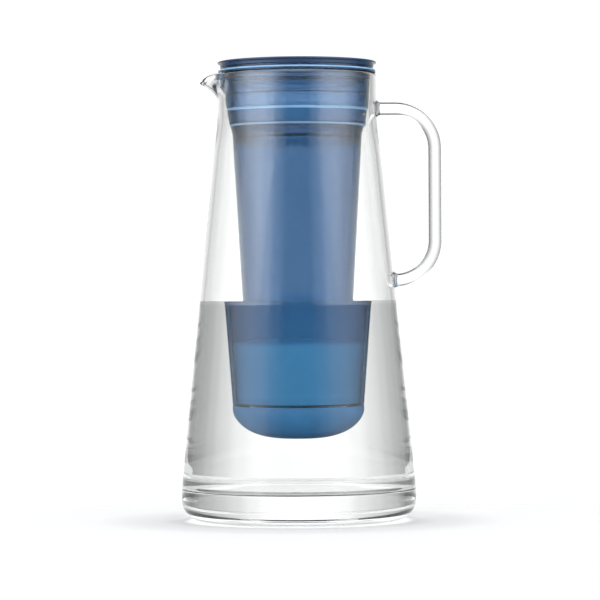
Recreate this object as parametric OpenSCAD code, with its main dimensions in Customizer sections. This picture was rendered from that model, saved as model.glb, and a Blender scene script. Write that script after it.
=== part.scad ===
// Glass water pitcher with a hanging gravity filter and a flip door in its lid.
// Millimetres. +Z is up, the origin is on the jug's axis where it stands.
// The spout points to -X and the handle to +X.

/* [Jug] */
// Height of the glass from the table to the rim
jug_h = 263; // [240:1:290]
// Largest outer radius, just above the foot
jug_base_r = 69.1; // [64:0.1:74]
// Radius of the rounded corner under the foot
foot_round = 13; // [8:0.5:16]
// Height at which the straight cone starts
cone_start_z = 24; // [20:1:40]
// Outer radius of the neck
neck_r = 46.75; // [44:0.05:50]
// How much wider than the neck the glass is where the cone runs into it
shoulder_out = 2.15; // [1:0.05:5]
// Length of the straight neck below the rim
neck_len = 22; // [18:1:28]
// Height of the curve between the cone and the neck
shoulder_h = 24; // [14:1:36]
// Wall of the cone
jug_wall = 2.7; // [2:0.1:3.2]
// Wall of the neck
neck_wall = 3.4; // [2.6:0.1:3.7]
// Thickness of the heavy glass floor
floor_t = 9.5; // [6:0.5:14]
// Radius of the corner between floor and wall, inside
floor_round = 5; // [3:0.5:8]
// Depth of the hollow under the foot
punt_h = 1.2; // [0.5:0.1:3]
// Width of the ring that the jug stands on
foot_ring_w = 10.1; // [6:0.1:14]

/* [Spout] */
// How far the lip is drawn out of the neck
spout_reach = 10.4; // [6:0.2:14]
// How far the tip of the lip hangs below the rim
spout_drop = 5.9; // [2:0.1:8]
// Distance below the rim at which the spout starts
spout_len = 16; // [12:0.5:20]
// Half of the angle of the neck that the spout takes up
spout_half_angle = 24; // [18:1:32]

/* [Handle] */
// Diameter of the glass rod
rod_d = 7.5; // [6:0.1:9]
// How far the middle of the grip stands out past the foot
grip_out = 11.9; // [6:0.1:20]
// Distance of the upper arm below the rim
arm_drop = 20.7; // [18:0.1:30]
// Distance between the two arms
arm_gap = 101; // [80:0.5:120]
// Radius of the bends, on the middle line of the rod
bend_r = 23.4; // [16:0.2:26]
// How much the weld at each end is wider than the rod, in radius
weld_flare = 1.5; // [0.5:0.1:3]

/* [Reservoir] */
// Height of the lower seam, between the tube and the filter cup
seam_z = 67; // [60:0.5:75]
// Outer radius of the tube at the lower seam
tube_foot_r = 29.2; // [28.6:0.1:31]
// How much narrower than the collar the tube is below it, in radius
tube_inset = 4.8; // [4.4:0.1:7]
// Wall of the tube
tube_wall = 2; // [1.4:0.1:2.4]
// Gap between the collar and the glass
collar_gap = 0.45; // [0.3:0.05:1]
// Height of the collar's upper band, below the seal
upper_band_h = 9; // [7:0.5:11]
// Height of the collar's middle band
middle_band_h = 8.9; // [6:0.1:10]
// Height of the collar's lower band
lower_band_h = 9; // [6:0.1:10]
// How deep the slanted flats on the spout's side cut into each band
flat_depth = 1.7; // [0.5:0.1:2]
// Height of the funnel between the collar and the tube
funnel_h = 6; // [4:0.5:9]
// Thickness of the flange that hangs on the rim
flange_t = 0.9; // [0.6:0.1:1.6]
// Height of the waist above the flange
waist_h = 1.5; // [1:0.1:2.5]
// Depth of the pouring channel in the collar
pour_depth = 4.7; // [3:0.1:5]
// Width of the pouring channel
pour_w = 12; // [8:0.5:16]

/* [Seals] */
// Thickness of the silicone between flange and glass
seal_leg_t = 1.1; // [0.8:0.1:1.6]
// Height of the part of the silicone that goes down into the neck
seal_plug_h = 3.8; // [3:0.1:5]
// Thickness of the washer in the lower seam
washer_t = 0.5; // [0.3:0.05:1]
// Gap between a seal and what it slides into
seal_gap = 0.15; // [0.1:0.01:0.25]
// Gap between pieces that lift apart
lift_gap = 0.1; // [0.05:0.01:0.2]

/* [Lid] */
// How much narrower than the neck the lid's lip is, in radius
lid_inset = 0.05; // [0:0.05:1]
// Thickness of the lip
lip_t = 1.2; // [0.8:0.1:2]
// Height of the lid above the reservoir's mouth
lid_h = 3.3; // [3:0.1:4.5]
// Thickness of the lid's plate
plate_t = 2.4; // [2.2:0.1:3]
// Depth of the skirt that goes into the reservoir
skirt_h = 9; // [7:0.5:9.5]
// Wall of the skirt
skirt_wall = 1.8; // [1.2:0.1:2.4]
// Height of the raised bead round the top
bead_h = 0.4; // [0.2:0.1:0.6]

/* [Flip door] */
// Width of the lid's ring round the door
door_margin = 13.7; // [12.7:0.1:18]
// Distance from the jug's axis to the straight edge of the door
door_chord = 12; // [8:0.5:16]
// Thickness of the door
door_t = 1.6; // [1.4:0.1:1.8]
// Gap round the door
door_gap = 0.4; // [0.3:0.05:0.8]
// Gap along the door's straight edge, which swings past the lid
swing_gap = 0.8; // [0.7:0.05:1.2]
// Width of the ledge that the door closes on
ledge_w = 3; // [2:0.1:4]
// Depth of the rim under the door
door_rim_h = 2.6; // [1.8:0.1:3.5]
// Diameter of the hinge barrel
barrel_d = 3.4; // [3.2:0.1:3.8]
// Length of the hinge barrel
barrel_len = 25.6; // [18:0.2:30]
// Diameter of the hinge pin
pin_d = 2; // [1.6:0.1:2.2]
// How far the pin goes into the lid at each end
pin_grip = 4; // [3:0.5:6]
// Running clearance of the pin in the barrel, in radius
pin_play = 0.05; // [0.02:0.01:0.1]
// Width of the thumb tab
tab_w = 7; // [5:0.5:9]

/* [Filter cup] */
// Depth of the filter cup below the seam
cup_h = 17.6; // [15:0.2:20]
// Depth of the cup's rounded bottom
bowl_h = 14.6; // [12:0.2:16]
// Wall of the cup
cup_wall = 2.1; // [1.6:0.1:2.3]
// Length of the collar that the cup screws on
spigot_len = 6.4; // [4:0.2:7]
// Wall of that collar
spigot_wall = 1.6; // [1.2:0.1:2]
// Radial room for the screw thread
thread_gap = 1.2; // [0.8:0.1:1.4]
// Number of drain slots
drain_count = 12; // [8:1:16]
// Width of a drain slot
drain_w = 1.6; // [1:0.1:2.2]

/* [Cartridges] */
// Height of the membrane cartridge's straight wall
membrane_h = 26.4; // [20:0.2:40]
// Rise of the membrane cartridge's dome
dome_h = 4; // [3:0.5:8]
// Wall of the cartridges
shell_t = 1.6; // [1.2:0.1:2]
// Gap between the membrane cartridge and the tube
membrane_gap = 0.8; // [0.5:0.1:1.2]
// Radius of the outlet that plugs into the socket
outlet_r = 6; // [5:0.1:7]
// Diameter of an O-ring's cord
oring_d = 1.3; // [1:0.1:1.8]
// Height of the carbon cartridge
carbon_h = 9.2; // [8:0.1:9.4]
// Thickness of a felt pad
felt_t = 0.55; // [0.3:0.05:0.8]
// Radius of a hollow fibre, drawn as a strand
fibre_r = 0.9; // [0.6:0.1:1.1]
// Height of the loops of hollow fibre
fibre_h = 14; // [8:0.5:16]

/* [Hidden] */
$fn = 96;

// Colours
glass_clear = [0.86, 0.92, 0.93, 0.35];
tank_blue = [0.20, 0.40, 0.58, 0.75];
lid_blue = [0.16, 0.33, 0.52];
silicone_grey = [0.22, 0.27, 0.33];
cartridge_blue = [0.30, 0.52, 0.72];
steel = [0.75, 0.76, 0.78];
resin = [0.85, 0.80, 0.62];
fibre_white = [0.93, 0.93, 0.90];
carbon_black = [0.09, 0.09, 0.10];
felt_white = [0.90, 0.90, 0.88];

// Jug
neck_in_r = neck_r - neck_wall;
shoulder_r = neck_r + shoulder_out;
punt_r = jug_base_r - foot_round - foot_ring_w;
neck_z = jug_h - neck_len;
shoulder_z = neck_z - shoulder_h;
rim_round = neck_wall / 2;
cone_start_r = jug_base_r - 0.5;

// Spout
spout_z = jug_h - spout_len;
spout_inset = 0.06;
spout_margin_angle = 2;

// Handle
rod_r = rod_d / 2;
grip_x = jug_base_r + grip_out;
upper_arm_z = jug_h - arm_drop;
lower_arm_z = upper_arm_z - arm_gap;
weld_len = 3;
weld_depth = 1;
arm_root = 5;

// Reservoir, from the top down
collar_r = neck_in_r - collar_gap;
tube_top_r = collar_r - tube_inset;
flange_in = 0.4;
waist_in = 1.5;
seal_seat_in = 0.8;
lid_r = neck_r - lid_inset;
flange_z = jug_h + lift_gap + seal_leg_t;
flange_r = lid_r - flange_in;
flange_top_z = flange_z + flange_t;
mouth_z = flange_top_z + waist_h;
waist_r = lid_r - waist_in;
seal_foot_z = jug_h - seal_plug_h;
seal_seat_r = collar_r - seal_seat_in;
bore_r = seal_seat_r - tube_wall;
upper_z = seal_foot_z - upper_band_h;
middle_z = upper_z - middle_band_h;
lower_z = middle_z - lower_band_h;
tube_top_z = lower_z - funnel_h;
tube_slope = (tube_top_r - tube_foot_r) / (tube_top_z - seam_z);
pour_top_z = upper_z + upper_band_h / 2;
pour_floor_x = collar_r - pour_depth;
funnel_r = collar_r - 3.4;
collar_in_r = collar_r - 3.6 - tube_wall;

// Lid and door
lid_z = mouth_z + lift_gap;
lid_top_z = lid_z + lid_h;
plate_top_z = lid_top_z - bead_h;
plate_z = plate_top_z - plate_t;
skirt_gap = 0.4;
skirt_r = bore_r - skirt_gap;
skirt_z = lid_z - skirt_h;
skirt_in_r = skirt_r - skirt_wall;
door_z = plate_top_z - door_t;
door_r = lid_r - door_margin;
door_seal_t = 0.7;
door_seal_gap = 0.05;
ledge_z = door_z - door_seal_t - door_seal_gap;
ledge_t = 1.4;
ledge_hole_r = door_r - ledge_w + door_gap;
ledge_hole_chord = door_chord - ledge_w + door_gap;
door_rim_gap = 0.5;
door_rim_r = ledge_hole_r - door_rim_gap;
door_rim_chord = ledge_hole_chord - door_rim_gap;
barrel_r = barrel_d / 2;
trough_gap = 0.5;
trough_r = barrel_r + trough_gap;
hinge_x = door_chord + trough_r + door_gap;
hinge_z = plate_top_z - barrel_r;
pin_r = pin_d / 2;
pin_len = barrel_len + 2 * pin_grip;
ledge_rim_w = 4.6;
pad_h = 2;
dish_r = 16;
dish_depth = 2.2;
dish_x = door_r + 3;
seal_groove_h = 2.1;
seal_groove_depth = 1;
seal_groove_z = skirt_z + 3;

// Seam, spigot and cup
cup_top_z = seam_z - washer_t - lift_gap / 2;
cup_inset = 0.1;
cup_r = tube_foot_r - cup_inset;
cup_floor_z = seam_z - cup_h;
bowl_z = cup_floor_z + bowl_h;
cup_step = 0.6;
cup_bore_r = cup_r - cup_wall - cup_step;
spigot_r = cup_bore_r - thread_gap;
spigot_in_r = spigot_r - spigot_wall;
spigot_z = seam_z - spigot_len;
rib_h = 8.8;
rib_top_z = cup_floor_z + rib_h;
rib_len = 10;
rib_inset = 3;
rib_foot_r = cup_r - rib_len - rib_inset;

// Bulkhead and its socket
plate_seat_z = seam_z + 5;
weld_gap = 0.05;
bulkhead_z = plate_seat_z;
bulkhead_t = 2.4;
bulkhead_top_z = bulkhead_z + bulkhead_t;
socket_gap = 0.6;
socket_r = outlet_r + socket_gap;
boss_wall = 2.4;
boss_r = socket_r + boss_wall;
boss_rise = 1.6;
boss_top_z = bulkhead_top_z + boss_rise;
boss_clear = 1.3;
boss_foot_z = seam_z + boss_clear;

// Membrane cartridge
membrane_z = boss_top_z + lift_gap;
membrane_base_t = 2;
membrane_wall_z = membrane_z + membrane_base_t;
membrane_top_z = membrane_z + membrane_h;
outlet_bore_r = 3.4;
outlet_recess = 0.4;
outlet_z = boss_foot_z + outlet_recess;
base_ring_h = 2.7;
potting_z = membrane_wall_z + base_ring_h;
potting_h = 5;
fibre_z = potting_z + potting_h;
oring_z = [boss_top_z - 2.2, boss_top_z - 5];
oring_r = oring_d / 2;
oring_play = 0.05;
oring_mid_r = socket_r - oring_play - oring_r;
groove_r = oring_mid_r - oring_r;
groove_half = oring_r + seal_gap;

// Carbon cartridge
carbon_z = rib_top_z + lift_gap;
carbon_gap = 0.4;
carbon_r = spigot_in_r - carbon_gap;
carbon_plate_t = 1.2;
carbon_top_z = carbon_z + carbon_h;
carbon_in_r = carbon_r - shell_t;

// Points on an arc about [cx, cz], both ends included.
function arc(cx, cz, r, from, to, steps) =
    [for (i = [0 : steps]) let (a = from + (to - from) * i / steps) [cx + r * cos(a), cz + r * sin(a)]];

// Points on a cubic curve with end points a and d, both ends included.
function curve(a, b, c, d, steps) =
    [for (i = [0 : steps]) let (t = i / steps, u = 1 - t)
        u * u * u * a + 3 * u * u * t * b + 3 * u * t * t * c + t * t * t * d];

function reverse(list) = [for (i = [len(list) - 1 : -1 : 0]) list[i]];

// Outer radius of the jug's straight cone at height z.
function cone_r(z) = cone_start_r + (shoulder_r - cone_start_r) * (z - cone_start_z) / (shoulder_z - cone_start_z);

// Outer radius of the reservoir's tube at height z, and the radius inside it.
function tube_r(z) = tube_foot_r + tube_slope * (z - seam_z);
function tube_in_r(z) = tube_r(z) - tube_wall;

// Radius of the cup's rounded bottom at height z, for a wall set in by inset.
function bowl_r(z, inset) =
    let (share = min(1, (bowl_z - z) / (bowl_h - inset)))
    (cup_r - inset) * pow(1 - pow(share, 1.7), 1 / 3);

// The jug's outside, from the edge of the hollow under the foot up to the rim.
function jug_outside() = concat(
    [for (i = [0 : 4]) let (r = punt_r * i / 4) [r, punt_h * (1 - pow(r / punt_r, 2))]],
    arc(jug_base_r - foot_round, foot_round, foot_round, -90, 0, 8),
    curve([jug_base_r, foot_round], [jug_base_r, foot_round + 4],
          [cone_r(cone_start_z - 4), cone_start_z - 4], [cone_start_r, cone_start_z], 4),
    curve([shoulder_r, shoulder_z], [cone_r(shoulder_z + shoulder_h / 3), shoulder_z + shoulder_h / 3],
          [neck_r, neck_z - shoulder_h / 3], [neck_r, neck_z], 8),
    [[neck_r, jug_h - rim_round]]
);

function jug_rim() = arc(neck_r - rim_round, jug_h - rim_round, rim_round, 0, 180, 8);

// The jug's inside, from the rim down to the middle of the floor.
function jug_inside() = concat(
    curve([neck_in_r, neck_z], [neck_in_r, neck_z - shoulder_h / 3],
          [cone_r(shoulder_z + shoulder_h / 3) - jug_wall, shoulder_z + shoulder_h / 3],
          [shoulder_r - jug_wall, shoulder_z], 8),
    arc(cone_r(floor_t + floor_round) - jug_wall - floor_round, floor_t + floor_round, floor_round, 0, -90, 6),
    [[0, floor_t]]
);

// Share of the spout's full reach at an angle from its middle.
function spout_share(angle) =
    abs(angle) < spout_half_angle ? (1 + cos(180 * angle / spout_half_angle)) / 2 : 0;

// Closed outline of the neck's wall at an angle from the middle of the spout.
function spout_section(angle) =
    let (
        share = spout_share(angle),
        top = jug_h - rim_round - spout_drop * pow(share, 2.7),
        rise = [for (i = [0 : 8]) i / 8],
        half = rim_round - spout_inset,
        middle = neck_r - rim_round,
        draw = [for (t = rise) [spout_reach * share * pow(t, 2.1), spout_z + (top - spout_z) * t]]
    )
    concat(
        [[middle + half, spout_z - 0.6]],
        [for (p = draw) [middle + half + p[0], p[1]]],
        [for (a = [30 : 30 : 150]) [middle + spout_reach * share + half * cos(a), top + half * sin(a)]],
        [for (p = reverse(draw)) [middle - half + p[0], p[1]]],
        [[middle - half, spout_z - 0.6]]
    );

// Faces that join a run of closed sections of n points each and close both ends.
function loft_faces(sections, n) = concat(
    [for (s = [0 : sections - 2]) for (i = [0 : n - 1])
        let (a = s * n + i, b = s * n + (i + 1) % n) [a, b, a + n]],
    [for (s = [0 : sections - 2]) for (i = [0 : n - 1])
        let (a = s * n + i, b = s * n + (i + 1) % n) [b, b + n, a + n]],
    [[for (i = [n - 1 : -1 : 0]) i]],
    [[for (i = [0 : n - 1]) (sections - 1) * n + i]]
);

// The drawn lip: wall sections turned about the jug's axis.
module spout() {
    reach_angle = spout_half_angle + spout_margin_angle;
    steps = 32;
    angles = [for (i = [0 : steps]) -reach_angle + 2 * reach_angle * i / steps];
    count = len(spout_section(0));
    points = [for (a = angles) for (p = spout_section(a)) [-p[0] * cos(a), -p[0] * sin(a), p[1]]];
    polyhedron(points, loft_faces(len(angles), count), convexity = 6);
}

module spout_clearance() {
    half = spout_half_angle + spout_margin_angle / 2;
    rotate([0, 0, 180 - half]) rotate_extrude(angle = 2 * half)
        translate([neck_in_r - 1, spout_z - 0.1]) square([neck_wall + 2, spout_len + 1]);
}

module glass_jug() {
    color(glass_clear) union() {
        difference() {
            rotate_extrude() polygon(concat(jug_outside(), jug_rim(), jug_inside()));
            spout_clearance();
        }
        spout();
    }
}

// A bend of the handle's rod in the XZ plane, about [x, z].
module rod_bend(x, z, from, to) {
    translate([x, 0, z]) rotate([90, 0, 0]) rotate([0, 0, from]) rotate_extrude(angle = to - from)
        translate([bend_r, 0]) circle(rod_r);
}

// A straight arm from inside the jug to the start of a bend, with its weld.
module rod_arm(z, side_r) {
    start = side_r - arm_root;
    translate([start, 0, z]) rotate([0, 90, 0]) cylinder(h = grip_x - bend_r - start, r = rod_r);
    translate([side_r - weld_depth, 0, z]) rotate([0, 90, 0]) cylinder(h = weld_len, r1 = rod_r + weld_flare, r2 = rod_r);
}

module handle() {
    bend_x = grip_x - bend_r;
    color(glass_clear) difference() {
        union() {
            rod_arm(upper_arm_z, neck_r);
            rod_arm(lower_arm_z, cone_r(lower_arm_z));
            rod_bend(bend_x, upper_arm_z - bend_r, 0, 90);
            rod_bend(bend_x, lower_arm_z + bend_r, -90, 0);
            translate([grip_x, 0, lower_arm_z + bend_r])
                cylinder(h = arm_gap - 2 * bend_r, r = rod_r);
        }
        rotate_extrude() polygon(concat(jug_outside(), [[0, jug_h]]));
    }
}

// The collar's outside, from the mouth down to its lower edge, then its inside up to the mouth.
function collar_outline() = concat(
    [[bore_r, mouth_z], [waist_r, mouth_z]],
    curve([waist_r, mouth_z - 0.3], [waist_r, flange_top_z + 0.3], [flange_r - 0.5, flange_top_z + 0.1],
          [flange_r, flange_top_z], 4),
    [[flange_r, flange_z], [seal_seat_r, flange_z], [seal_seat_r, seal_foot_z]],
    [[collar_r, seal_foot_z], [collar_r - 0.4, upper_z + 0.3], [collar_r - 0.8, upper_z]],
    [[collar_r - 0.5, upper_z - 0.5], [collar_r - 1.1, middle_z + 0.5], [collar_r - 1.9, middle_z]],
    [[collar_r - 1.7, middle_z - 0.6], [collar_r - 2.3, lower_z + 0.5], [collar_r - 2.8, lower_z]],
    [[collar_in_r, lower_z], [collar_r - 3.2 - tube_wall, middle_z], [collar_r - 3 - tube_wall, upper_z - 4]],
    [[bore_r, upper_z]]
);

// The tube's outside, from the collar down to the end of the spigot, then its inside up to the collar.
function tube_outline() = concat(
    curve([funnel_r, lower_z], [collar_r - 4, lower_z - funnel_h / 2],
          [tube_r(tube_top_z + funnel_h / 2), tube_top_z + funnel_h / 2], [tube_top_r, tube_top_z], 5),
    [[tube_foot_r, seam_z], [spigot_r, seam_z], [spigot_r, spigot_z], [spigot_in_r, spigot_z]],
    [[spigot_in_r, plate_seat_z], [tube_in_r(plate_seat_z), plate_seat_z]],
    [[tube_in_r(tube_top_z), tube_top_z], [collar_in_r, lower_z]]
);

// Slanted flats on the spout's side of the three bands, drawn from the side.
module spout_flats() {
    out = collar_r + 4;
    low = [collar_r + 0.2 - flat_depth, collar_r - 1.2 - flat_depth, collar_r - 2.1 - flat_depth];
    rotate([90, 0, 0]) linear_extrude(4 * collar_r, center = true) polygon([
        [-out, seal_foot_z - 2], [-collar_r - 0.2, seal_foot_z - 2], [-low[0], upper_z + 0.3],
        [-collar_r + 0.3, upper_z - 1], [-low[1], middle_z + 0.4], [-collar_r + 1.6, middle_z - 0.6],
        [-low[2], lower_z + 2], [-low[2], lower_z], [-out, lower_z]
    ]);
}

// The pouring channel, or with grow the block that holds its walls.
module pour_slot(grow) {
    half = pour_w / 2 + grow;
    depth_x = pour_floor_x - grow;
    translate([-collar_r - 6, -half, tube_top_z - 4])
        cube([collar_r + 6 - depth_x, 2 * half, pour_top_z + grow - tube_top_z + 4]);
}

// Solid round the pouring channel, kept inside the wall: an outline of radius and height turned about the axis.
module pour_wall(outline) {
    intersection() {
        rotate_extrude() polygon(outline);
        pour_slot(tube_wall);
    }
}

module reservoir_collar() {
    inner = tube_in_r(tube_top_z) - tube_wall - 1;
    color(tank_blue) difference() {
        union() {
            rotate_extrude() polygon(collar_outline());
            pour_wall([
                [inner, lower_z], [collar_r - 4.2, lower_z], [collar_r - 3.2, middle_z],
                [collar_r - 1.5, upper_z], [collar_r - 1.5, seal_foot_z], [inner, seal_foot_z]
            ]);
        }
        pour_slot(0);
        spout_flats();
    }
}

module reservoir_tube() {
    inner = tube_in_r(tube_top_z) - tube_wall - 1;
    foot_z = tube_top_z - tube_wall;
    color(tank_blue) difference() {
        union() {
            rotate_extrude() polygon(tube_outline());
            pour_wall([
                [inner, foot_z], [tube_in_r(tube_top_z) + 1, foot_z], [collar_r - 4.2, lower_z], [inner, lower_z]
            ]);
        }
        pour_slot(0);
    }
}

// Plate across the foot of the tube, with the socket that the membrane cartridge plugs into.
module socket_plate() {
    edge_r = tube_in_r(bulkhead_z) - weld_gap;
    top_r = tube_in_r(bulkhead_top_z) - weld_gap;
    color(tank_blue) rotate_extrude() polygon([
        [edge_r, bulkhead_z], [top_r, bulkhead_top_z], [boss_r, bulkhead_top_z], [boss_r, boss_top_z],
        [socket_r, boss_top_z], [socket_r, boss_foot_z], [boss_r, boss_foot_z], [boss_r, bulkhead_z]
    ]);
}

// Silicone ring with an angle section: it lies on the rim and goes down into the neck.
module neck_seal() {
    plug_r = neck_in_r - seal_gap;
    leg_r = flange_r + 0.1;
    foot = seal_foot_z + 0.05;
    tongue_angle = 22;
    color(silicone_grey) union() {
        rotate_extrude() polygon([
            [seal_seat_r, flange_z], [seal_seat_r, foot], [plug_r - 0.3, foot], [plug_r, foot + 0.5],
            [plug_r - 0.3, foot + 1], [plug_r - 0.3, foot + 1.8], [plug_r, foot + 2.3],
            [plug_r - 0.3, foot + 2.8], [plug_r - 0.3, jug_h + lift_gap], [leg_r - 0.3, jug_h + lift_gap],
            [leg_r, jug_h + lift_gap + 0.3], [leg_r, flange_z]
        ]);
        rotate([0, 0, 180 - tongue_angle / 2]) rotate_extrude(angle = tongue_angle)
            translate([seal_seat_r + 0.5, foot]) square([neck_r - seal_seat_r - 0.4, 2.9]);
    }
}

// Half disc with a straight edge at x = chord.
module d_shape(r, chord) {
    intersection() {
        circle(r);
        translate([-r - 1, -r - 1]) square([chord + r + 1, 2 * r + 2]);
    }
}

module d_plate(r, chord, z, h) {
    translate([0, 0, z]) linear_extrude(h) d_shape(r, chord);
}

// A bar along Y through the hinge.
module hinge_bar(r, len) {
    translate([hinge_x, len / 2, hinge_z]) rotate([90, 0, 0]) cylinder(h = len, r = r);
}

module lid_cap() {
    groove_in_r = skirt_r - seal_groove_depth;
    groove_top_z = seal_groove_z + seal_groove_h;
    trough_len = barrel_len + 2 * door_gap;
    color(lid_blue) difference() {
        union() {
            rotate_extrude() polygon(concat(
                [[0, plate_z], [skirt_in_r, plate_z], [skirt_in_r, skirt_z], [skirt_r, skirt_z]],
                [[skirt_r, seal_groove_z], [groove_in_r, seal_groove_z], [groove_in_r, groove_top_z],
                 [skirt_r, groove_top_z]],
                [[skirt_r, lid_z], [waist_r, lid_z]],
                curve([waist_r, lid_z + 0.4], [waist_r, lid_top_z - lip_t - 0.2], [waist_r + 0.3, lid_top_z - lip_t],
                      [lid_r - lip_t / 2, lid_top_z - lip_t], 4),
                arc(lid_r - lip_t / 2, lid_top_z - lip_t / 2, lip_t / 2, -67.5, 90, 7),
                [[lid_r - 1.5, lid_top_z], [lid_r - 2, plate_top_z], [0, plate_top_z]]
            ));
            d_plate(ledge_hole_r + ledge_rim_w, door_chord + swing_gap + 1, ledge_z - ledge_t, ledge_t + 0.2);
            translate([hinge_x - trough_r - 1, -pin_len / 2 - 1.2, hinge_z - trough_r - 1.3])
                cube([2 * trough_r + 2.4, pin_len + 2.4, trough_r + 1.3]);
            intersection() {
                translate([-dish_x, 0, plate_z - pad_h]) cylinder(h = pad_h + 0.2, r = dish_r / 2);
                cylinder(h = 2 * jug_h, r = skirt_in_r + 0.5);
            }
        }
        d_plate(ledge_hole_r, ledge_hole_chord, ledge_z - pad_h - 2, pad_h + 6);
        d_plate(door_r + door_gap, door_chord + swing_gap, ledge_z, 4);
        hinge_bar(trough_r, trough_len);
        translate([door_chord, -trough_len / 2, hinge_z]) cube([hinge_x - door_chord + trough_r + door_gap, trough_len, 4]);
        hinge_bar(pin_r, pin_len);
        translate([-dish_x, 0, plate_top_z + dish_r - dish_depth]) sphere(dish_r);
    }
}

// Silicone ring with two lips, in the skirt's groove.
module lid_seal() {
    lip_h = 2;
    foot = seal_groove_z + (seal_groove_h - lip_h) / 2;
    inner = skirt_r - seal_groove_depth;
    lip = bore_r - seal_gap;
    root = lip - 0.4;
    color(silicone_grey) rotate_extrude() polygon([
        [inner, foot], [root, foot], [lip, foot + lip_h / 5], [root, foot + lip_h * 0.4], [root, foot + lip_h * 0.6],
        [lip, foot + lip_h * 0.8], [root, foot + lip_h], [inner, foot + lip_h]
    ]);
}

module hinge_pin() {
    color(steel) hinge_bar(pin_r, pin_len);
}

module flip_door() {
    rim_z = door_z - door_rim_h;
    rim_t = 1.5;
    tab_len = 2.4;
    tab_t = 1.2;
    color(lid_blue) difference() {
        union() {
            d_plate(door_r, door_chord, door_z, door_t);
            difference() {
                d_plate(door_rim_r, door_rim_chord, rim_z, door_rim_h + 0.2);
                d_plate(door_rim_r - rim_t, door_rim_chord - rim_t, rim_z - 1, door_rim_h + 1);
            }
            translate([door_chord - 1, -barrel_len / 2, door_z]) cube([hinge_x - door_chord + 1, barrel_len, door_t]);
            hinge_bar(barrel_r, barrel_len);
            translate([-door_r - tab_len + 0.5, -tab_w / 2, plate_top_z - tab_t]) cube([tab_len + 1, tab_w, tab_t]);
        }
        hinge_bar(pin_r + pin_play, barrel_len + 2);
    }
}

// Flat silicone frame stuck under the edge of the door.
module door_seal() {
    color(silicone_grey) difference() {
        d_plate(door_r - 0.8, door_chord - 0.8, door_z - door_seal_t, door_seal_t);
        d_plate(door_rim_r, door_rim_chord, door_z - door_seal_t - 1, door_seal_t + 2);
    }
}

// Outer radius of the membrane cartridge at height z.
function membrane_r(z) = tube_in_r(z) - membrane_gap;

module membrane_housing() {
    color(cartridge_blue) rotate_extrude() polygon([
        [membrane_r(membrane_wall_z), membrane_wall_z], [membrane_r(membrane_top_z), membrane_top_z],
        [membrane_r(membrane_top_z) - shell_t, membrane_top_z],
        [membrane_r(membrane_wall_z) - shell_t, membrane_wall_z]
    ]);
}

// Dome with inlet slots and, in its middle, a bar to pull the cartridge out by.
module membrane_cap() {
    edge_r = membrane_r(membrane_top_z);
    slots = 16;
    slot_w = 1.8;
    grip_r = 9;
    bar_w = 5;
    dome = curve([edge_r, membrane_top_z], [edge_r - 0.5, membrane_top_z + dome_h * 0.6],
                 [edge_r * 0.55, membrane_top_z + dome_h], [0, membrane_top_z + dome_h], 8);
    lining = [for (p = reverse(dome)) [max(0, p[0] - shell_t * pow(p[0] / edge_r, 2)), p[1] - shell_t]];
    color(cartridge_blue) difference() {
        rotate_extrude() polygon(concat(dome, [for (p = lining) [p[0], max(p[1], membrane_top_z)]]));
        for (i = [0 : slots - 1]) rotate([0, 0, 360 * i / slots])
            translate([edge_r * 0.45, -slot_w / 2, membrane_top_z - 1]) cube([edge_r * 0.38, slot_w, dome_h + 2]);
        difference() {
            translate([0, 0, membrane_top_z - 1]) cylinder(h = dome_h + 2, r = grip_r);
            cube([bar_w, 4 * grip_r, 4 * membrane_top_z], center = true);
        }
    }
}

// End plate with the outlet that plugs into the reservoir's socket.
module membrane_base() {
    ring_r = membrane_r(membrane_wall_z) - shell_t - 0.05;
    color(cartridge_blue) rotate_extrude() polygon(concat(
        [[outlet_bore_r, outlet_z], [outlet_r, outlet_z]],
        [for (z = reverse(oring_z)) each [[outlet_r, z - groove_half], [groove_r, z - groove_half],
                                          [groove_r, z + groove_half], [outlet_r, z + groove_half]]],
        [[outlet_r, membrane_z], [membrane_r(membrane_z), membrane_z]],
        [[membrane_r(membrane_wall_z), membrane_wall_z], [ring_r, membrane_wall_z], [ring_r, potting_z]],
        [[ring_r - shell_t, potting_z], [ring_r - shell_t, membrane_wall_z], [outlet_bore_r, membrane_wall_z]]
    ));
}

module potting_disc() {
    foot_r = membrane_r(potting_z) - shell_t;
    top_r = membrane_r(potting_z + potting_h) - shell_t;
    color(resin) translate([0, 0, potting_z]) cylinder(h = potting_h, r1 = foot_r, r2 = top_r);
}

// One strand of hollow fibre, bent double, with both ends in the resin.
module fibre_loop() {
    bend = 2.1 * fibre_r;
    leg = fibre_h - bend - fibre_r;
    for (side = [-1, 1]) translate([0, side * bend, 0]) cylinder(h = leg, r = fibre_r);
    translate([0, 0, leg]) rotate([90, 0, 90]) rotate_extrude(angle = 180) translate([bend, 0]) circle(fibre_r);
}

module fibre_bundle() {
    ring_step = 7.3 * fibre_r;
    loop_pitch = 8.2 * fibre_r;
    rings = floor((membrane_r(membrane_top_z) - shell_t - 4.4 * fibre_r) / ring_step);
    color(fibre_white) for (ring = [1 : rings]) {
        count = floor(2 * PI * ring * ring_step / loop_pitch);
        for (i = [0 : count - 1]) rotate([0, 0, 360 * i / count]) translate([ring * ring_step, 0, fibre_z])
            fibre_loop();
    }
}

module spigot_orings() {
    color(silicone_grey) for (z = oring_z) rotate_extrude() translate([oring_mid_r, z]) circle(oring_r);
}

// Flat washer in the lower seam.
module cup_seal() {
    color(silicone_grey) translate([0, 0, seam_z - washer_t]) difference() {
        cylinder(h = washer_t - lift_gap / 2, r = cup_r - 0.3);
        translate([0, 0, -1]) cylinder(h = washer_t + 2, r = cup_bore_r);
    }
}

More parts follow.
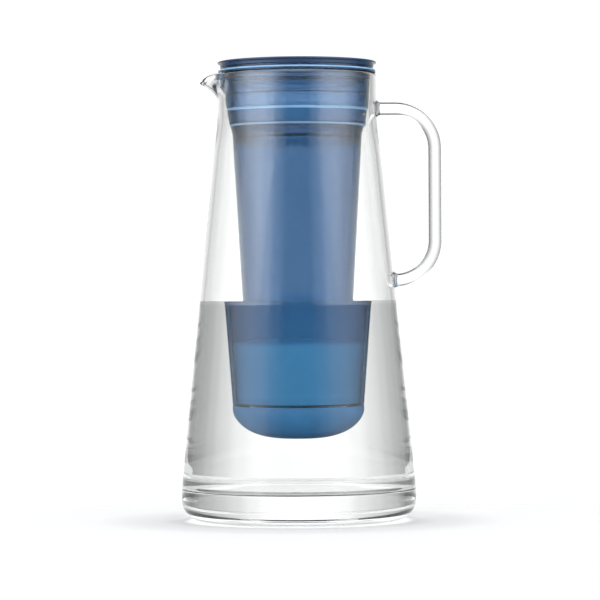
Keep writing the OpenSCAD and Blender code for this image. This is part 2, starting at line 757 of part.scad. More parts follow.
// Bowl that screws on under the reservoir, with drain slots and ribs for the carbon cartridge.
module filter_cup() {
    steps = 9;
    lead_in = 0.6;
    heights = [for (i = [0 : steps]) cup_floor_z + bowl_h * pow(i / steps, 2)];
    inner_foot = cup_floor_z + cup_wall;
    inner_drop = 2.4;
    inner_top = bowl_z - inner_drop;
    drain_len = 9;
    drain_in_r = drain_len / 2;
    inner = [for (i = [0 : steps]) inner_foot + (inner_top - inner_foot) * pow(i / steps, 2)];
    rib_t = 1.4;
    color(tank_blue) difference() {
        union() {
            rotate_extrude() polygon(concat(
                [for (z = heights) [bowl_r(z, 0), z]], [[cup_r, cup_top_z], [cup_bore_r, cup_top_z]],
                [[cup_bore_r, inner_top + lead_in]], [for (z = reverse(inner)) [bowl_r(z, cup_wall), z]]
            ));
            intersection() {
                rotate_extrude() polygon([for (z = heights) [max(0, bowl_r(z, 0) - lead_in), z + lead_in]]);
                for (i = [0 : 5]) rotate([0, 0, 60 * i + 15])
                    translate([rib_foot_r, -rib_t / 2, cup_floor_z]) cube([rib_len, rib_t, rib_h]);
            }
        }
        for (i = [0 : drain_count - 1]) rotate([0, 0, 360 * i / drain_count])
            translate([drain_in_r, -drain_w / 2, cup_floor_z - 1]) cube([drain_len, drain_w, cup_wall + 4]);
    }
}

// Ring of slots through a cartridge's plate.
module plate_slots(z, h) {
    slots = 18;
    for (i = [0 : slots - 1]) rotate([0, 0, 360 * i / slots])
        translate([carbon_in_r * 0.4, -0.7, z]) cube([carbon_in_r * 0.5, 1.4, h]);
}

module carbon_case() {
    wall_top = carbon_top_z - carbon_plate_t;
    color(cartridge_blue) difference() {
        translate([0, 0, carbon_z]) cylinder(h = wall_top - carbon_z, r = carbon_r);
        translate([0, 0, carbon_z + carbon_plate_t]) cylinder(h = carbon_h, r = carbon_in_r);
        plate_slots(carbon_z - 1, carbon_plate_t + 2);
    }
}

module carbon_cover() {
    color(cartridge_blue) difference() {
        translate([0, 0, carbon_top_z - carbon_plate_t]) cylinder(h = carbon_plate_t, r = carbon_r);
        plate_slots(carbon_top_z - carbon_plate_t - 1, carbon_plate_t + 2);
    }
}

module carbon_bed() {
    foot = carbon_z + carbon_plate_t + felt_t;
    top = carbon_top_z - carbon_plate_t - felt_t;
    color(carbon_black) translate([0, 0, foot]) cylinder(h = top - foot, r = carbon_in_r);
}

module felt_pads() {
    color(felt_white) for (z = [carbon_z + carbon_plate_t, carbon_top_z - carbon_plate_t - felt_t])
        translate([0, 0, z]) cylinder(h = felt_t, r = carbon_in_r);
}

glass_jug();
handle();
reservoir_collar();
reservoir_tube();
socket_plate();
neck_seal();
lid_cap();
lid_seal();
hinge_pin();
flip_door();
door_seal();
membrane_housing();
membrane_cap();
membrane_base();
potting_disc();
fibre_bundle();
spigot_orings();
cup_seal();
filter_cup();
carbon_case();
carbon_cover();
carbon_bed();
felt_pads();
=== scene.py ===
"""Looks, light and camera for a glass water pitcher with a hanging filter and a flip lid.

Sizes are in millimetres until a surface becomes a mesh. +Z is up, the spout points to -X and
the handle to +X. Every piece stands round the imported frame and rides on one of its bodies.
"""

import logging
import math
from abc import ABC, abstractmethod
from dataclasses import dataclass, field
from enum import Enum
from functools import reduce
from typing import Mapping, Sequence

import bpy
import numpy as np
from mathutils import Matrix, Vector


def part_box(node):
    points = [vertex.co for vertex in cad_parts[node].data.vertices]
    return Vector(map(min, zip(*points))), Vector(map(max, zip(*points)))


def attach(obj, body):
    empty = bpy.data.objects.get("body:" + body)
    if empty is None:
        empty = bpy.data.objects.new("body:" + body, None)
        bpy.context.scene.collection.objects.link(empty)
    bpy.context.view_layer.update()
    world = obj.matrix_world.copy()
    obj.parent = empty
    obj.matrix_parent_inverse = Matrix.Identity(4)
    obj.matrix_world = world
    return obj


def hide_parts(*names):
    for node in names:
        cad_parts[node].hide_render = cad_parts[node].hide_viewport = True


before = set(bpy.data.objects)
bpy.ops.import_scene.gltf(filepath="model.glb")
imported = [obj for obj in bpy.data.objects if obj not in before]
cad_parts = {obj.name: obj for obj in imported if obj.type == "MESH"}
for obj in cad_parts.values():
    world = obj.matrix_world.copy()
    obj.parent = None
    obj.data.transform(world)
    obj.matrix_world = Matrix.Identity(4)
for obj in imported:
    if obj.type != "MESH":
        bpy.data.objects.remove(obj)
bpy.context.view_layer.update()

log = logging.getLogger("pitcher")

Array = np.ndarray
Colour = tuple[float, float, float]
Corner = tuple[float, float, float]
Material = bpy.types.Material
Node = bpy.types.Node
Object = bpy.types.Object
Socket = bpy.types.NodeSocket

MM = 0.001
IMAGE_PIXELS = 600
SPOUT_ANGLE = math.pi
RING_COLUMNS = 160
WHITE = (1.0, 1.0, 1.0, 1.0)
BLACK = (0.0, 0.0, 0.0, 1.0)


# ---- Outlines: rows of (radius, height) or (across, along) points ----


def arc(centre: tuple[float, float], radius: float, start: float, end: float, steps: int) -> Array:
    """Arc of a circle: centre + radius * (cos a, sin a) for a from start to end.

    Args:
        centre: middle of the circle.
        radius: radius of the circle.
        start: first angle in degrees.
        end: last angle in degrees.
        steps: number of equal steps between them.

    Returns:
        steps + 1 points, one row each.
    """
    a = np.radians(np.linspace(start, end, steps + 1))
    return np.column_stack([centre[0] + radius * np.cos(a), centre[1] + radius * np.sin(a)])


def cubic(a: Corner, b: Corner, c: Corner, d: Corner, steps: int) -> Array:
    """Cubic curve: u^3 a + 3 u^2 t b + 3 u t^2 c + t^3 d with u = 1 - t, for t from 0 to 1.

    Args:
        a: first point.
        b: point that the curve leaves a towards.
        c: point that the curve reaches d from.
        d: last point.
        steps: number of equal steps of t.

    Returns:
        steps + 1 points, one row each.
    """
    t = np.linspace(0, 1, steps + 1)[:, None]
    u = 1 - t
    ends = [np.asarray(p, float)[None, :] for p in (a, b, c, d)]
    return u**3 * ends[0] + 3 * u**2 * t * ends[1] + 3 * u * t**2 * ends[2] + t**3 * ends[3]


def rounded(corners: Sequence[Corner], closed: bool = True, turn: float = 15.0) -> Array:
    """Outline whose corners are rounded by arcs that touch both of their sides.

    A corner of angle g and radius r is cut back by r / tan(g / 2) along each side, at most
    0.49 of the side, and the arc is drawn about the point r / sin(g / 2) up its bisector.

    Args:
        corners: (across, along, radius) of each corner in order.
        closed: whether the last corner joins the first.
        turn: largest turn between two points of an arc, in degrees.

    Returns:
        Points of the outline, one row each.
    """
    points = np.array([c[:2] for c in corners], float)
    runs = []
    for i, (_, _, radius) in enumerate(corners):
        here = points[i]
        if radius <= 0 or (not closed and i in (0, len(corners) - 1)):
            runs.append(here[None, :])
            continue
        sides = [points[i - 1] - here, points[(i + 1) % len(points)] - here]
        lengths = [np.linalg.norm(side) for side in sides]
        back, on = (side / length for side, length in zip(sides, lengths))
        half = math.acos(float(np.clip(back @ on, -1, 1))) / 2
        cut = min(radius / math.tan(half), 0.49 * min(lengths))
        radius = cut * math.tan(half)
        bisector = (back + on) / np.linalg.norm(back + on)
        centre = here + bisector * radius / math.sin(half)
        first, last = here + back * cut - centre, here + on * cut - centre
        start = math.atan2(first[1], first[0])
        sweep = math.pi - 2 * half
        side = 1 if first[0] * last[1] - first[1] * last[0] > 0 else -1
        angles = start + side * np.linspace(0, sweep, max(2, math.ceil(math.degrees(sweep) / turn)) + 1)
        runs.append(centre + radius * np.column_stack([np.cos(angles), np.sin(angles)]))
    return np.vstack(runs)


def refined(outline: Array, longest: float, closed: bool = False) -> Array:
    """Outline with points added evenly on each side that is longer than a limit.

    Args:
        outline: points, one row each.
        longest: longest side that may stay.
        closed: whether the last point joins the first.

    Returns:
        The outline's own points and those between them.
    """
    after = np.roll(outline, -1, axis=0) if closed else outline[1:]
    before = outline if closed else outline[:-1]
    counts = np.maximum(1, np.ceil(np.linalg.norm(after - before, axis=1) / longest)).astype(int)
    which = np.repeat(np.arange(len(counts)), counts)
    share = (np.arange(counts.sum()) - np.repeat(np.cumsum(counts) - counts, counts)) / counts[which]
    made = before[which] + (after - before)[which] * share[:, None]
    return made if closed else np.vstack([made, outline[-1:]])


# ---- Angles about the jug's axis, and edges seen from it ----


def turn_angles(count: int, dense: Sequence[tuple[float, float, float]] = ()) -> Array:
    """Angles round a turn, closer together near chosen ones.

    The density is 1 + sum of gain * exp(-(distance / width)^2), and the angles split its
    running total into equal parts.

    Args:
        count: number of angles.
        dense: (angle, width, gain) of each dense stretch, angles in radians.

    Returns:
        Angles from 0 to just under a full turn.
    """
    fine = np.linspace(0, 2 * math.pi, 7201)
    weight = np.ones_like(fine)
    for angle, width, gain in dense:
        away = np.abs((fine - angle + math.pi) % (2 * math.pi) - math.pi)
        weight += gain * np.exp(-((away / width) ** 2))
    total = np.concatenate([[0], np.cumsum((weight[1:] + weight[:-1]) / 2)])
    return np.interp(np.linspace(0, total[-1], count + 1)[:-1], total, fine)


def from_spout(angles: Array) -> Array:
    """Signed angle of each direction from the middle of the spout, in radians."""
    return (angles - SPOUT_ANGLE + math.pi) % (2 * math.pi) - math.pi


def softly(a: Array, b: Array, softness: float, largest: bool = False) -> Array:
    """Smaller (or larger) of two lengths, with a soft change between them.

    Smaller of a and b is -k log(exp(-a / k) + exp(-b / k)); the larger turns both signs.

    Args:
        a: first lengths.
        b: second lengths.
        softness: k, the length over which one runs into the other.
        largest: whether the larger is taken.

    Returns:
        The blended lengths.
    """
    sign = 1.0 if largest else -1.0
    return sign * softness * np.logaddexp(sign * a / softness, sign * b / softness)


def d_edge(angles: Array, radius: float, chord: float, softness: float = 0.5) -> Array:
    """Distance from the axis to a D-shaped edge: min(radius, chord / cos a), corners softened.

    Args:
        angles: directions in radians.
        radius: radius of the round side.
        chord: distance of the straight side, towards +X.
        softness: roundness of the two corners.

    Returns:
        One distance for each angle.
    """
    straight = chord / np.maximum(np.cos(angles), 1e-3)
    return softly(np.full_like(angles, radius), np.minimum(straight, 9 * radius), softness)


def box_edge(angles: Array, half_x: float, half_y: float, softness: float = 0.2) -> Array:
    """Distance from its middle to a box's edge: min(half_x / |cos a|, half_y / |sin a|).

    Args:
        angles: directions in radians.
        half_x: half of the box along X.
        half_y: half of the box along Y.
        softness: roundness of the corners.

    Returns:
        One distance for each angle.
    """
    far = 9 * max(half_x, half_y)
    along = np.minimum(half_x / np.maximum(np.abs(np.cos(angles)), 1e-6), far)
    across = np.minimum(half_y / np.maximum(np.abs(np.sin(angles)), 1e-6), far)
    return softly(along, across, softness)


# ---- Surfaces: grids of points, closed into shells ----


@dataclass
class Shell:
    """One closed surface: points in millimetres, and faces as rows of point numbers."""

    points: Array
    quads: Array
    triangles: Array = field(default_factory=lambda: np.zeros((0, 3), int))

    def __post_init__(self) -> None:
        """Turns every face round if the enclosed volume, sum of a . (b x c) / 6, is negative."""
        split = [self.quads[:, [0, 1, 2]], self.quads[:, [0, 2, 3]], self.triangles]
        a, b, c = (self.points[np.vstack(split)[:, i]] for i in range(3))
        if np.einsum("ij,ij->", a, np.cross(b, c)) < 0:
            self.quads, self.triangles = self.quads[:, ::-1], self.triangles[:, ::-1]

    def moved(self, turn: float = 0.0, by: Corner = (0.0, 0.0, 0.0)) -> "Shell":
        """Copy of the shell, turned about Z and then moved.

        Args:
            turn: angle in radians.
            by: distance along X, Y and Z.

        Returns:
            The new shell.
        """
        c, s = math.cos(turn), math.sin(turn)
        matrix = np.array([[c, s, 0], [-s, c, 0], [0, 0, 1]])
        return Shell(self.points @ matrix + np.array(by), self.quads.copy(), self.triangles.copy())


def grid_quads(rows: int, columns: int, rows_wrap: bool) -> Array:
    """Quads of a grid whose columns wrap round: (i, j), (i, j + 1), (i + 1, j + 1), (i + 1, j).

    Args:
        rows: number of rows.
        columns: number of columns.
        rows_wrap: whether the last row joins the first.

    Returns:
        Four point numbers for each quad.
    """
    number = np.arange(rows * columns).reshape(rows, columns)
    below = np.roll(number, -1, axis=0) if rows_wrap else number[1:]
    here = number if rows_wrap else number[:-1]
    corners = [here, np.roll(here, -1, axis=1), np.roll(below, -1, axis=1), below]
    return np.stack([c.ravel() for c in corners], axis=1)


def closed_loop(grid: Array) -> Shell:
    """Shell of a closed outline carried round a closed path, as a ring is.

    Args:
        grid: points by row (place on the outline) and column (place on the path).

    Returns:
        The shell.
    """
    rows, columns, _ = grid.shape
    return Shell(grid.reshape(-1, 3), grid_quads(rows, columns, rows_wrap=True))


def closed_ends(grid: Array) -> Shell:
    """Shell of rings in a row, with a fan from the middle of the first and of the last ring.

    Args:
        grid: points by row (one ring each) and column (place on the ring).

    Returns:
        The shell.
    """
    rows, columns, _ = grid.shape
    number = np.arange(columns)
    after = np.roll(number, -1)
    first, last = rows * columns, rows * columns + 1
    offset = (rows - 1) * columns
    fans = np.vstack(
        [
            np.column_stack([np.full(columns, first), after, number]),
            np.column_stack([np.full(columns, last), number + offset, after + offset]),
        ]
    )
    poles = np.vstack([grid[0].mean(axis=0), grid[-1].mean(axis=0)])
    return Shell(np.vstack([grid.reshape(-1, 3), poles]), grid_quads(rows, columns, False), fans)


def turned(radii: Array, heights: Array, angles: Array) -> Array:
    """Grid of an outline turned about Z: (r cos a, r sin a, z).

    Args:
        radii: radius of each outline point, or of each point and angle.
        heights: height of each outline point, or of each point and angle.
        angles: directions in radians.

    Returns:
        Points by outline place and angle.
    """
    shape = (len(radii), len(angles))
    r = np.broadcast_to(radii if radii.ndim == 2 else radii[:, None], shape)
    z = np.broadcast_to(heights if heights.ndim == 2 else heights[:, None], shape)
    return np.stack([r * np.cos(angles), r * np.sin(angles), z], axis=2)


def lathe(corners: Sequence[Corner], angles: Array, longest: float = 1e3) -> Shell:
    """Ring made by turning a closed outline with rounded corners about Z.

    Args:
        corners: (radius, height, corner radius) of each corner.
        angles: directions in radians.
        longest: longest side of the outline.

    Returns:
        The shell.
    """
    outline = refined(rounded(corners), longest, closed=True)
    return closed_loop(turned(outline[:, 0], outline[:, 1], angles))


def slab(angles: Array, edge: Array, foot: float, top: float, soften: float, inner_rings: int = 3) -> Shell:
    """Flat plate of any outline with softened edges, about the middle that its edge is seen from.

    Each ring is edge(a) + offset scaled by a share, with the offset following a quarter
    circle of radius soften at the top and the bottom edge.

    Args:
        angles: directions in radians.
        edge: distance to the edge in each direction.
        foot: height of the underside.
        top: height of the upper side.
        soften: radius of the edges.
        inner_rings: number of rings between the middle and the edge on each flat side.

    Returns:
        The shell.
    """
    lower = arc((-soften, foot + soften), soften, -90, 0, 4)
    upper = arc((-soften, top - soften), soften, 0, 90, 4)
    rim = np.vstack([lower, upper])
    shares = np.linspace(0.15, 0.9, inner_rings)
    flat = shares[:, None] * (edge - soften)[None, :]
    round_part = edge[None, :] + rim[:, :1]
    radii = np.vstack([flat, round_part, flat[::-1]])
    heights = np.concatenate([np.full(inner_rings, foot), rim[:, 1], np.full(inner_rings, top)])
    return closed_ends(turned(radii, heights, angles))


def band(angles: Array, inner: Array, outer: Array, foot: float, top: float, soften: float) -> Shell:
    """Flat frame between two edges, with softened corners.

    Each corner of the section is a quarter circle of radius soften, laid out from the inner
    edge or from the outer edge in every direction.

    Args:
        angles: directions in radians.
        inner: distance to the hole in each direction.
        outer: distance to the outer edge in each direction.
        foot: height of the underside.
        top: height of the upper side.
        soften: radius of the corners.

    Returns:
        The shell.
    """
    low, high = foot + soften, top - soften
    out = np.vstack([arc((-soften, low), soften, -90, 0, 3), arc((-soften, high), soften, 0, 90, 3)])
    back = np.vstack([arc((soften, high), soften, 90, 180, 3), arc((soften, low), soften, 180, 270, 3)])
    radii = np.vstack([outer[None, :] + out[:, :1], inner[None, :] + back[:, :1]])
    return closed_loop(turned(radii, np.concatenate([out[:, 1], back[:, 1]]), angles))


def carried(path: Array, normals: Array, side: Array, radii: Array, columns: int) -> Array:
    """Grid of a circle carried along a path: p + r (cos c * normal + sin c * side).

    Args:
        path: points of the path, one row each.
        normals: unit vector across the path at each point.
        side: unit vector across both path and normals.
        radii: radius of the circle at each point.
        columns: number of points round the circle.

    Returns:
        Points by path place and place on the circle.
    """
    c = np.linspace(0, 2 * math.pi, columns + 1)[:-1]
    across = np.cos(c)[None, :, None] * normals[:, None, :] + np.sin(c)[None, :, None] * side
    return path[:, None, :] + radii[:, None, None] * across


def along_y(outline: Array, x: float, z: float, columns: int = 48) -> Array:
    """Grid of an outline (radius, y) turned about a line through (x, z) along Y.

    Args:
        outline: radius and place along Y of each point.
        x: place of the line.
        z: height of the line.
        columns: number of points round the line.

    Returns:
        Points (x + r cos c, y, z + r sin c) by outline place and angle.
    """
    c = np.linspace(0, 2 * math.pi, columns + 1)[:-1]
    r, y = outline[:, :1], np.repeat(outline[:, 1:], columns, axis=1)
    return np.stack([x + r * np.cos(c), y, z + r * np.sin(c)], axis=2)


def across_y(places: Sequence[tuple[float, Array]]) -> Shell:
    """Shell of upright sections in a row along Y: a point (x, z) stands at (x, place, z).

    Args:
        places: (place, section) of each section in order.

    Returns:
        The shell.
    """
    rows = [np.column_stack([s[:, 0], np.full(len(s), y), s[:, 1]]) for y, s in places]
    return closed_ends(np.stack(rows))


def two_lips(root: float, tip: float, foot: float, half: float, pitch: float) -> list[Corner]:
    """Corners of a seal's two pointed lips, from the lower one's foot upwards.

    Args:
        root: radius beside the lips.
        tip: radius of their tips.
        foot: height at which the lower one starts.
        half: height from a lip's foot to its tip.
        pitch: height from one lip to the next.

    Returns:
        (radius, height, corner radius) of six corners.
    """
    made: list[Corner] = []
    for up in (0, pitch):
        made += [(root, foot + up, 0.1), (tip, foot + (up + half), 0.12), (root, foot + (up + 2 * half), 0.1)]
    return made


# ---- Finishes ----


def srgb(red: int, green: int, blue: int) -> Colour:
    """Linear colour of an sRGB one: ((c + 0.055) / 1.055)^2.4 above 0.04, else c / 12.92."""
    shares = [c / 255 for c in (red, green, blue)]
    return tuple(c / 12.92 if c <= 0.04045 else ((c + 0.055) / 1.055) ** 2.4 for c in shares)


class Slot(Enum):
    """Material slots of the record."""

    CLEAR_GLASS = "clear_glass"
    TINTED = "tinted_plastic"
    BLUE = "blue_plastic"
    CARTRIDGE = "cartridge_plastic"
    SILICONE = "dark_silicone"
    STEEL = "pin_steel"
    RESIN = "potting_resin"
    FIBRE = "hollow_fibre"
    CARBON = "carbon"
    FELT = "felt"


class Body(Enum):
    """Bodies of the frame that the new pieces ride on."""

    JUG = "jug"
    RESERVOIR = "reservoir"
    LID = "lid"
    DOOR = "door"
    WASHER = "cup_washer"
    CUP = "cup"


class NodeTree:
    """Short hand for a material's or a world's nodes."""

    def __init__(self, tree: bpy.types.NodeTree) -> None:
        """Empties the tree and keeps it."""
        self.tree = tree
        tree.nodes.clear()

    def feed(self, target: Socket, value: object) -> None:
        """Joins an output to an input, or sets the input where the value is no output."""
        if isinstance(value, Socket):
            self.tree.links.new(value, target)
        else:
            target.default_value = value

    def add(self, kind: str, *inputs: object, **values: object) -> Node:
        """Adds a node.

        Args:
            kind: Blender's name of the node type, without "ShaderNode".
            inputs: value of, or output for, each of its first inputs.
            values: the same for inputs that are named, and the node's properties.

        Returns:
            The new node.
        """
        node = self.tree.nodes.new("ShaderNode" + kind)
        for name, value in values.items():
            label = name.replace("_", " ").title().replace("Ior", "IOR")
            if label in node.inputs:
                self.feed(node.inputs[label], value)
            else:
                setattr(node, name, value)
        for target, value in zip(node.inputs, inputs):
            self.feed(target, value)
        return node

    def math(self, operation: str, *inputs: object) -> Socket:
        """Adds a math node that is fed these inputs, and gives its result."""
        return self.add("Math", *inputs, operation=operation).outputs[0]

    def product(self, factors: Sequence[Socket]) -> Socket:
        """Multiplies outputs, which for tests of 0 or 1 says whether all of them hold."""
        return reduce(lambda first, second: self.math("MULTIPLY", first, second), factors)

    def mapped(
        self, source: Socket, start: float, end: float, low: float = 0.0, high: float = 1.0, **values: object
    ) -> Socket:
        """Adds a straight change from one span to another.

        Args:
            source: what is mapped.
            start: value of the source that gives low.
            end: value of the source that gives high.
            low: first end of the new span.
            high: other end of the new span.
            values: properties of the node.

        Returns:
            The mapped value, held between the two ends if nothing else is said.
        """
        return self.add("MapRange", source, start, end, low, high, **values).outputs["Result"]

    def eased(self, source: Socket, start: float, end: float) -> Socket:
        """Adds a soft step from 0 at the start to 1 at the end, and gives its result."""
        return self.mapped(source, start, end, interpolation_type="SMOOTHSTEP")

    def ramp(self, source: Socket, stops: Sequence[tuple[float, Colour]], ease: bool = False) -> Socket:
        """Adds a colour ramp.

        Args:
            source: place on the ramp, from 0 to 1.
            stops: (place, colour) of each stop in order.
            ease: whether the colours run into each other in soft steps.

        Returns:
            The colour.
        """
        node = self.add("ValToRGB", fac=source)
        elements = node.color_ramp.elements
        if ease:
            node.color_ramp.interpolation = "EASE"
        for number, (place, colour) in enumerate(stops):
            ends = {0: elements[0], len(stops) - 1: elements[-1]}
            element = ends.get(number) or elements.new(place)
            element.position, element.color = place, (*colour, 1.0)
        return node.outputs["Color"]


def new_material(name: str) -> tuple[Material, NodeTree]:
    """Makes a material, and gives it with its emptied nodes."""
    made = bpy.data.materials.new(name)
    made.use_nodes = True
    return made, NodeTree(made.node_tree)


@dataclass(frozen=True)
class Finish(ABC):
    """A surface finish: its slot in the record, its colour and its gloss."""

    slot: Slot
    colour: Colour
    roughness: float

    @abstractmethod
    def dress(self, nodes: NodeTree, shader: Node, output: Node) -> None:
        """Adds what this finish needs to a tree that holds its shader and output."""

    def pattern(self, nodes: NodeTree, size: float, detail: float, stretch: Corner = (1, 1, 1)) -> Node:
        """Adds noise on the piece's own coordinates.

        Args:
            nodes: tree to add to.
            size: size of the pattern in millimetres.
            detail: octaves of the noise.
            stretch: how much finer the pattern is along X, Y and Z.

        Returns:
            The noise node.
        """
        where = nodes.add("TexCoord").outputs["Object"]
        mapping = nodes.add("Mapping", vector=where, scale=stretch)
        return nodes.add("TexNoise", vector=mapping.outputs["Vector"], scale=1 / (size * MM), detail=detail)

    def relief(
        self, nodes: NodeTree, shader: Node, noise: Node, height: float, strength: float = 1.0
    ) -> None:
        """Drives the shader's normal by a bump map.

        Args:
            nodes: tree to add to.
            shader: shader whose normal is driven.
            noise: node whose first output is the height.
            height: height of the bumps in millimetres.
            strength: strength of the bump node.
        """
        bump = nodes.add("Bump", strength=strength, distance=height * MM, height=noise.outputs[0])
        nodes.feed(shader.inputs["Normal"], bump.outputs["Normal"])

    def material(self, name: str) -> Material:
        """Makes the material.

        Args:
            name: name of the material.

        Returns:
            A material with one Principled shader and this finish's own nodes.
        """
        made, nodes = new_material(name)
        shader = nodes.add("BsdfPrincipled", base_color=(*self.colour, 1.0), roughness=self.roughness)
        output = nodes.add("OutputMaterial", surface=shader.outputs["BSDF"])
        self.dress(nodes, shader, output)
        return made


@dataclass(frozen=True)
class BlownGlass(Finish):
    """Clear glass with the slow waves that blowing leaves."""

    ior: float = 1.5
    wave: float = 34.0
    wave_height: float = 0.05

    def dress(self, nodes: NodeTree, shader: Node, output: Node) -> None:
        """Lets light through and adds slow waves, stretched along the height."""
        shader.inputs["IOR"].default_value = self.ior
        shader.inputs["Transmission Weight"].default_value = 1.0
        waves = self.pattern(nodes, self.wave, 1.0, (1.0, 1.0, 0.6))
        self.relief(nodes, shader, waves, self.wave_height)


@dataclass(frozen=True)
class TintedPlastic(Finish):
    """Clear plastic with a dye in its depth, so that thick parts are darker.

    A zone is a height and the tint that its surface has above it; the zones are painted light and shade by
    height, because the dye is the same all through.
    """

    dye: Colour = (0.3, 0.5, 0.7)
    density: float = 500.0
    ior: float = 1.46
    haze: float = 0.0
    painted_light_zones: tuple[tuple[float, Colour], ...] = ()
    zones_to: float = 300.0
    zone_step: float = 0.5
    grain: float = 5.0
    grain_height: float = 0.01

    def dress(self, nodes: NodeTree, shader: Node, output: Node) -> None:
        """Lets light through but for a share of haze, fills the solid with dye and adds a faint flow."""
        if self.painted_light_zones:
            nodes.feed(shader.inputs["Base Color"], self.shade(nodes))
        shader.inputs["IOR"].default_value = self.ior
        shader.inputs["Transmission Weight"].default_value = 1.0 - self.haze
        depth = nodes.add("VolumeAbsorption", color=(*self.dye, 1.0), density=self.density)
        nodes.feed(output.inputs["Volume"], depth.outputs["Volume"])
        self.relief(nodes, shader, self.pattern(nodes, self.grain, 2.0), self.grain_height)

    def shade(self, nodes: NodeTree) -> Socket:
        """Adds the painted light and shade of the zones, each of which takes over above the height that goes
        with it.

        Args:
            nodes: tree to add to.

        Returns:
            The colour at each height of the piece.
        """
        stops = [(0.0, self.colour)]
        for height, colour in self.painted_light_zones:
            stops.append(((height - self.zone_step) / self.zones_to, stops[-1][1]))
            stops.append(((height + self.zone_step) / self.zones_to, colour))
        place = nodes.add("SeparateXYZ", nodes.add("TexCoord").outputs["Object"])
        share = nodes.mapped(place.outputs["Z"], 0.0, self.zones_to * MM)
        return nodes.ramp(share, [*stops, (1.0, stops[-1][1])])


@dataclass(frozen=True)
class MouldedPlastic(Finish):
    """Opaque moulded plastic or silicone: fine grain, slow change of shade and uneven gloss."""

    grain: float = 0.35
    grain_height: float = 0.02
    mottle: float = 14.0
    mottle_share: float = 0.12
    gloss_range: float = 0.1
    ior: float = 1.47

    def dress(self, nodes: NodeTree, shader: Node, output: Node) -> None:
        """Adds slow shades of the colour, gloss that follows them and a fine grain."""
        shader.inputs["IOR"].default_value = self.ior
        slow = self.pattern(nodes, self.mottle, 2.0).outputs["Fac"]
        spread = (1 - self.mottle_share, 1 + self.mottle_share)
        dark, light = (tuple(min(1.0, c * share) for c in self.colour) for share in spread)
        nodes.feed(shader.inputs["Base Color"], nodes.ramp(slow, [(0.3, dark), (0.7, light)]))
        half = self.gloss_range / 2
        gloss = nodes.mapped(slow, 0.0, 1.0, self.roughness - half, self.roughness + half)
        nodes.feed(shader.inputs["Roughness"], gloss)
        self.relief(nodes, shader, self.pattern(nodes, self.grain, 3.0), self.grain_height, 0.6)


@dataclass(frozen=True)
class GroundSteel(Finish):
    """Ground steel rod with fine scratches round it."""

    scratch: float = 0.25
    scratch_height: float = 0.004

    def dress(self, nodes: NodeTree, shader: Node, output: Node) -> None:
        """Makes the shader metal and adds scratches that run round the rod's own axis, Y."""
        shader.inputs["Metallic"].default_value = 1.0
        marks = self.pattern(nodes, self.scratch, 2.0, (0.15, 3.0, 0.15))
        self.relief(nodes, shader, marks, self.scratch_height)


@dataclass(frozen=True)
class Granules(Finish):
    """Crushed grains or matted fibres: cells of uneven shade that stand up from the surface."""

    grain: float = 0.8
    grain_height: float = 0.3
    shade_range: float = 0.5

    def dress(self, nodes: NodeTree, shader: Node, output: Node) -> None:
        """Adds cells that drive both the shade and the relief."""
        where = nodes.add("TexCoord").outputs["Object"]
        cells = nodes.add("TexVoronoi", vector=where, scale=1 / (self.grain * MM))
        darker = tuple(c * (1 - self.shade_range) for c in self.colour)
        shade = nodes.ramp(cells.outputs["Distance"], [(0.0, self.colour), (1.0, darker)])
        nodes.feed(shader.inputs["Base Color"], shade)
        self.relief(nodes, shader, cells, self.grain_height, 0.5)


GLASS = BlownGlass(Slot.CLEAR_GLASS, (0.985, 0.995, 0.992), 0.0)
# Painted light by height: the tube is tinted lighter below 104 mm, and the collar is paler still above 244
# mm, where the lid shades it.
TINTED = TintedPlastic(
    Slot.TINTED, (0.28, 0.55, 0.7), 0.04, dye=(0.2, 0.37, 0.56), density=310.0, haze=0.03,
    painted_light_zones=((104.0, (0.22, 0.46, 0.66)), (244.0, (0.37, 0.63, 0.84))),
)
# Painted highlight: a lighter opaque blue on the flange's edge and under two bands stands in for the bright
# lines that light draws there.
PAINTED_HIGHLIGHT_EDGE = MouldedPlastic(Slot.TINTED, srgb(96, 134, 168), 0.35)
CUP_BLUE = MouldedPlastic(Slot.TINTED, srgb(28, 86, 128), 0.45)
LID_BLUE = MouldedPlastic(Slot.BLUE, srgb(20, 44, 72), 0.26)
# Painted light: the lid's skirt is a paler, clearer plastic than the rest of the lid, which lightens the
# collar band that stands in front of it.
PAINTED_LIGHT_SKIRT = TintedPlastic(Slot.BLUE, (0.85, 0.93, 1.0), 0.12, dye=(0.4, 0.6, 0.8), density=60.0)
CARTRIDGE = MouldedPlastic(Slot.CARTRIDGE, (0.84, 0.88, 0.89), 0.4, mottle_share=0.04)
SILICONE = TintedPlastic(Slot.SILICONE, (0.85, 0.92, 0.97), 0.3, dye=(0.3, 0.5, 0.7), density=90.0, ior=1.41)
STEEL = GroundSteel(Slot.STEEL, srgb(196, 198, 202), 0.28)
RESIN = MouldedPlastic(Slot.RESIN, srgb(214, 202, 158), 0.22, mottle=4.0)
FIBRE = Granules(Slot.FIBRE, srgb(238, 238, 230), 0.8, grain=0.5, grain_height=0.05, shade_range=0.15)
CARBON = Granules(Slot.CARBON, srgb(40, 40, 44), 0.7)
FELT = Granules(Slot.FELT, srgb(230, 230, 224), 0.95, grain=0.3, grain_height=0.1, shade_range=0.2)


# ---- Pieces ----


_materials: dict[Finish, Material] = {}


def material_of(finish: Finish) -> Material:
    """Material of a finish, made once and shared."""
    if finish not in _materials:
        _materials[finish] = finish.material(f"{finish.slot.value}_{len(_materials)}")
    return _materials[finish]


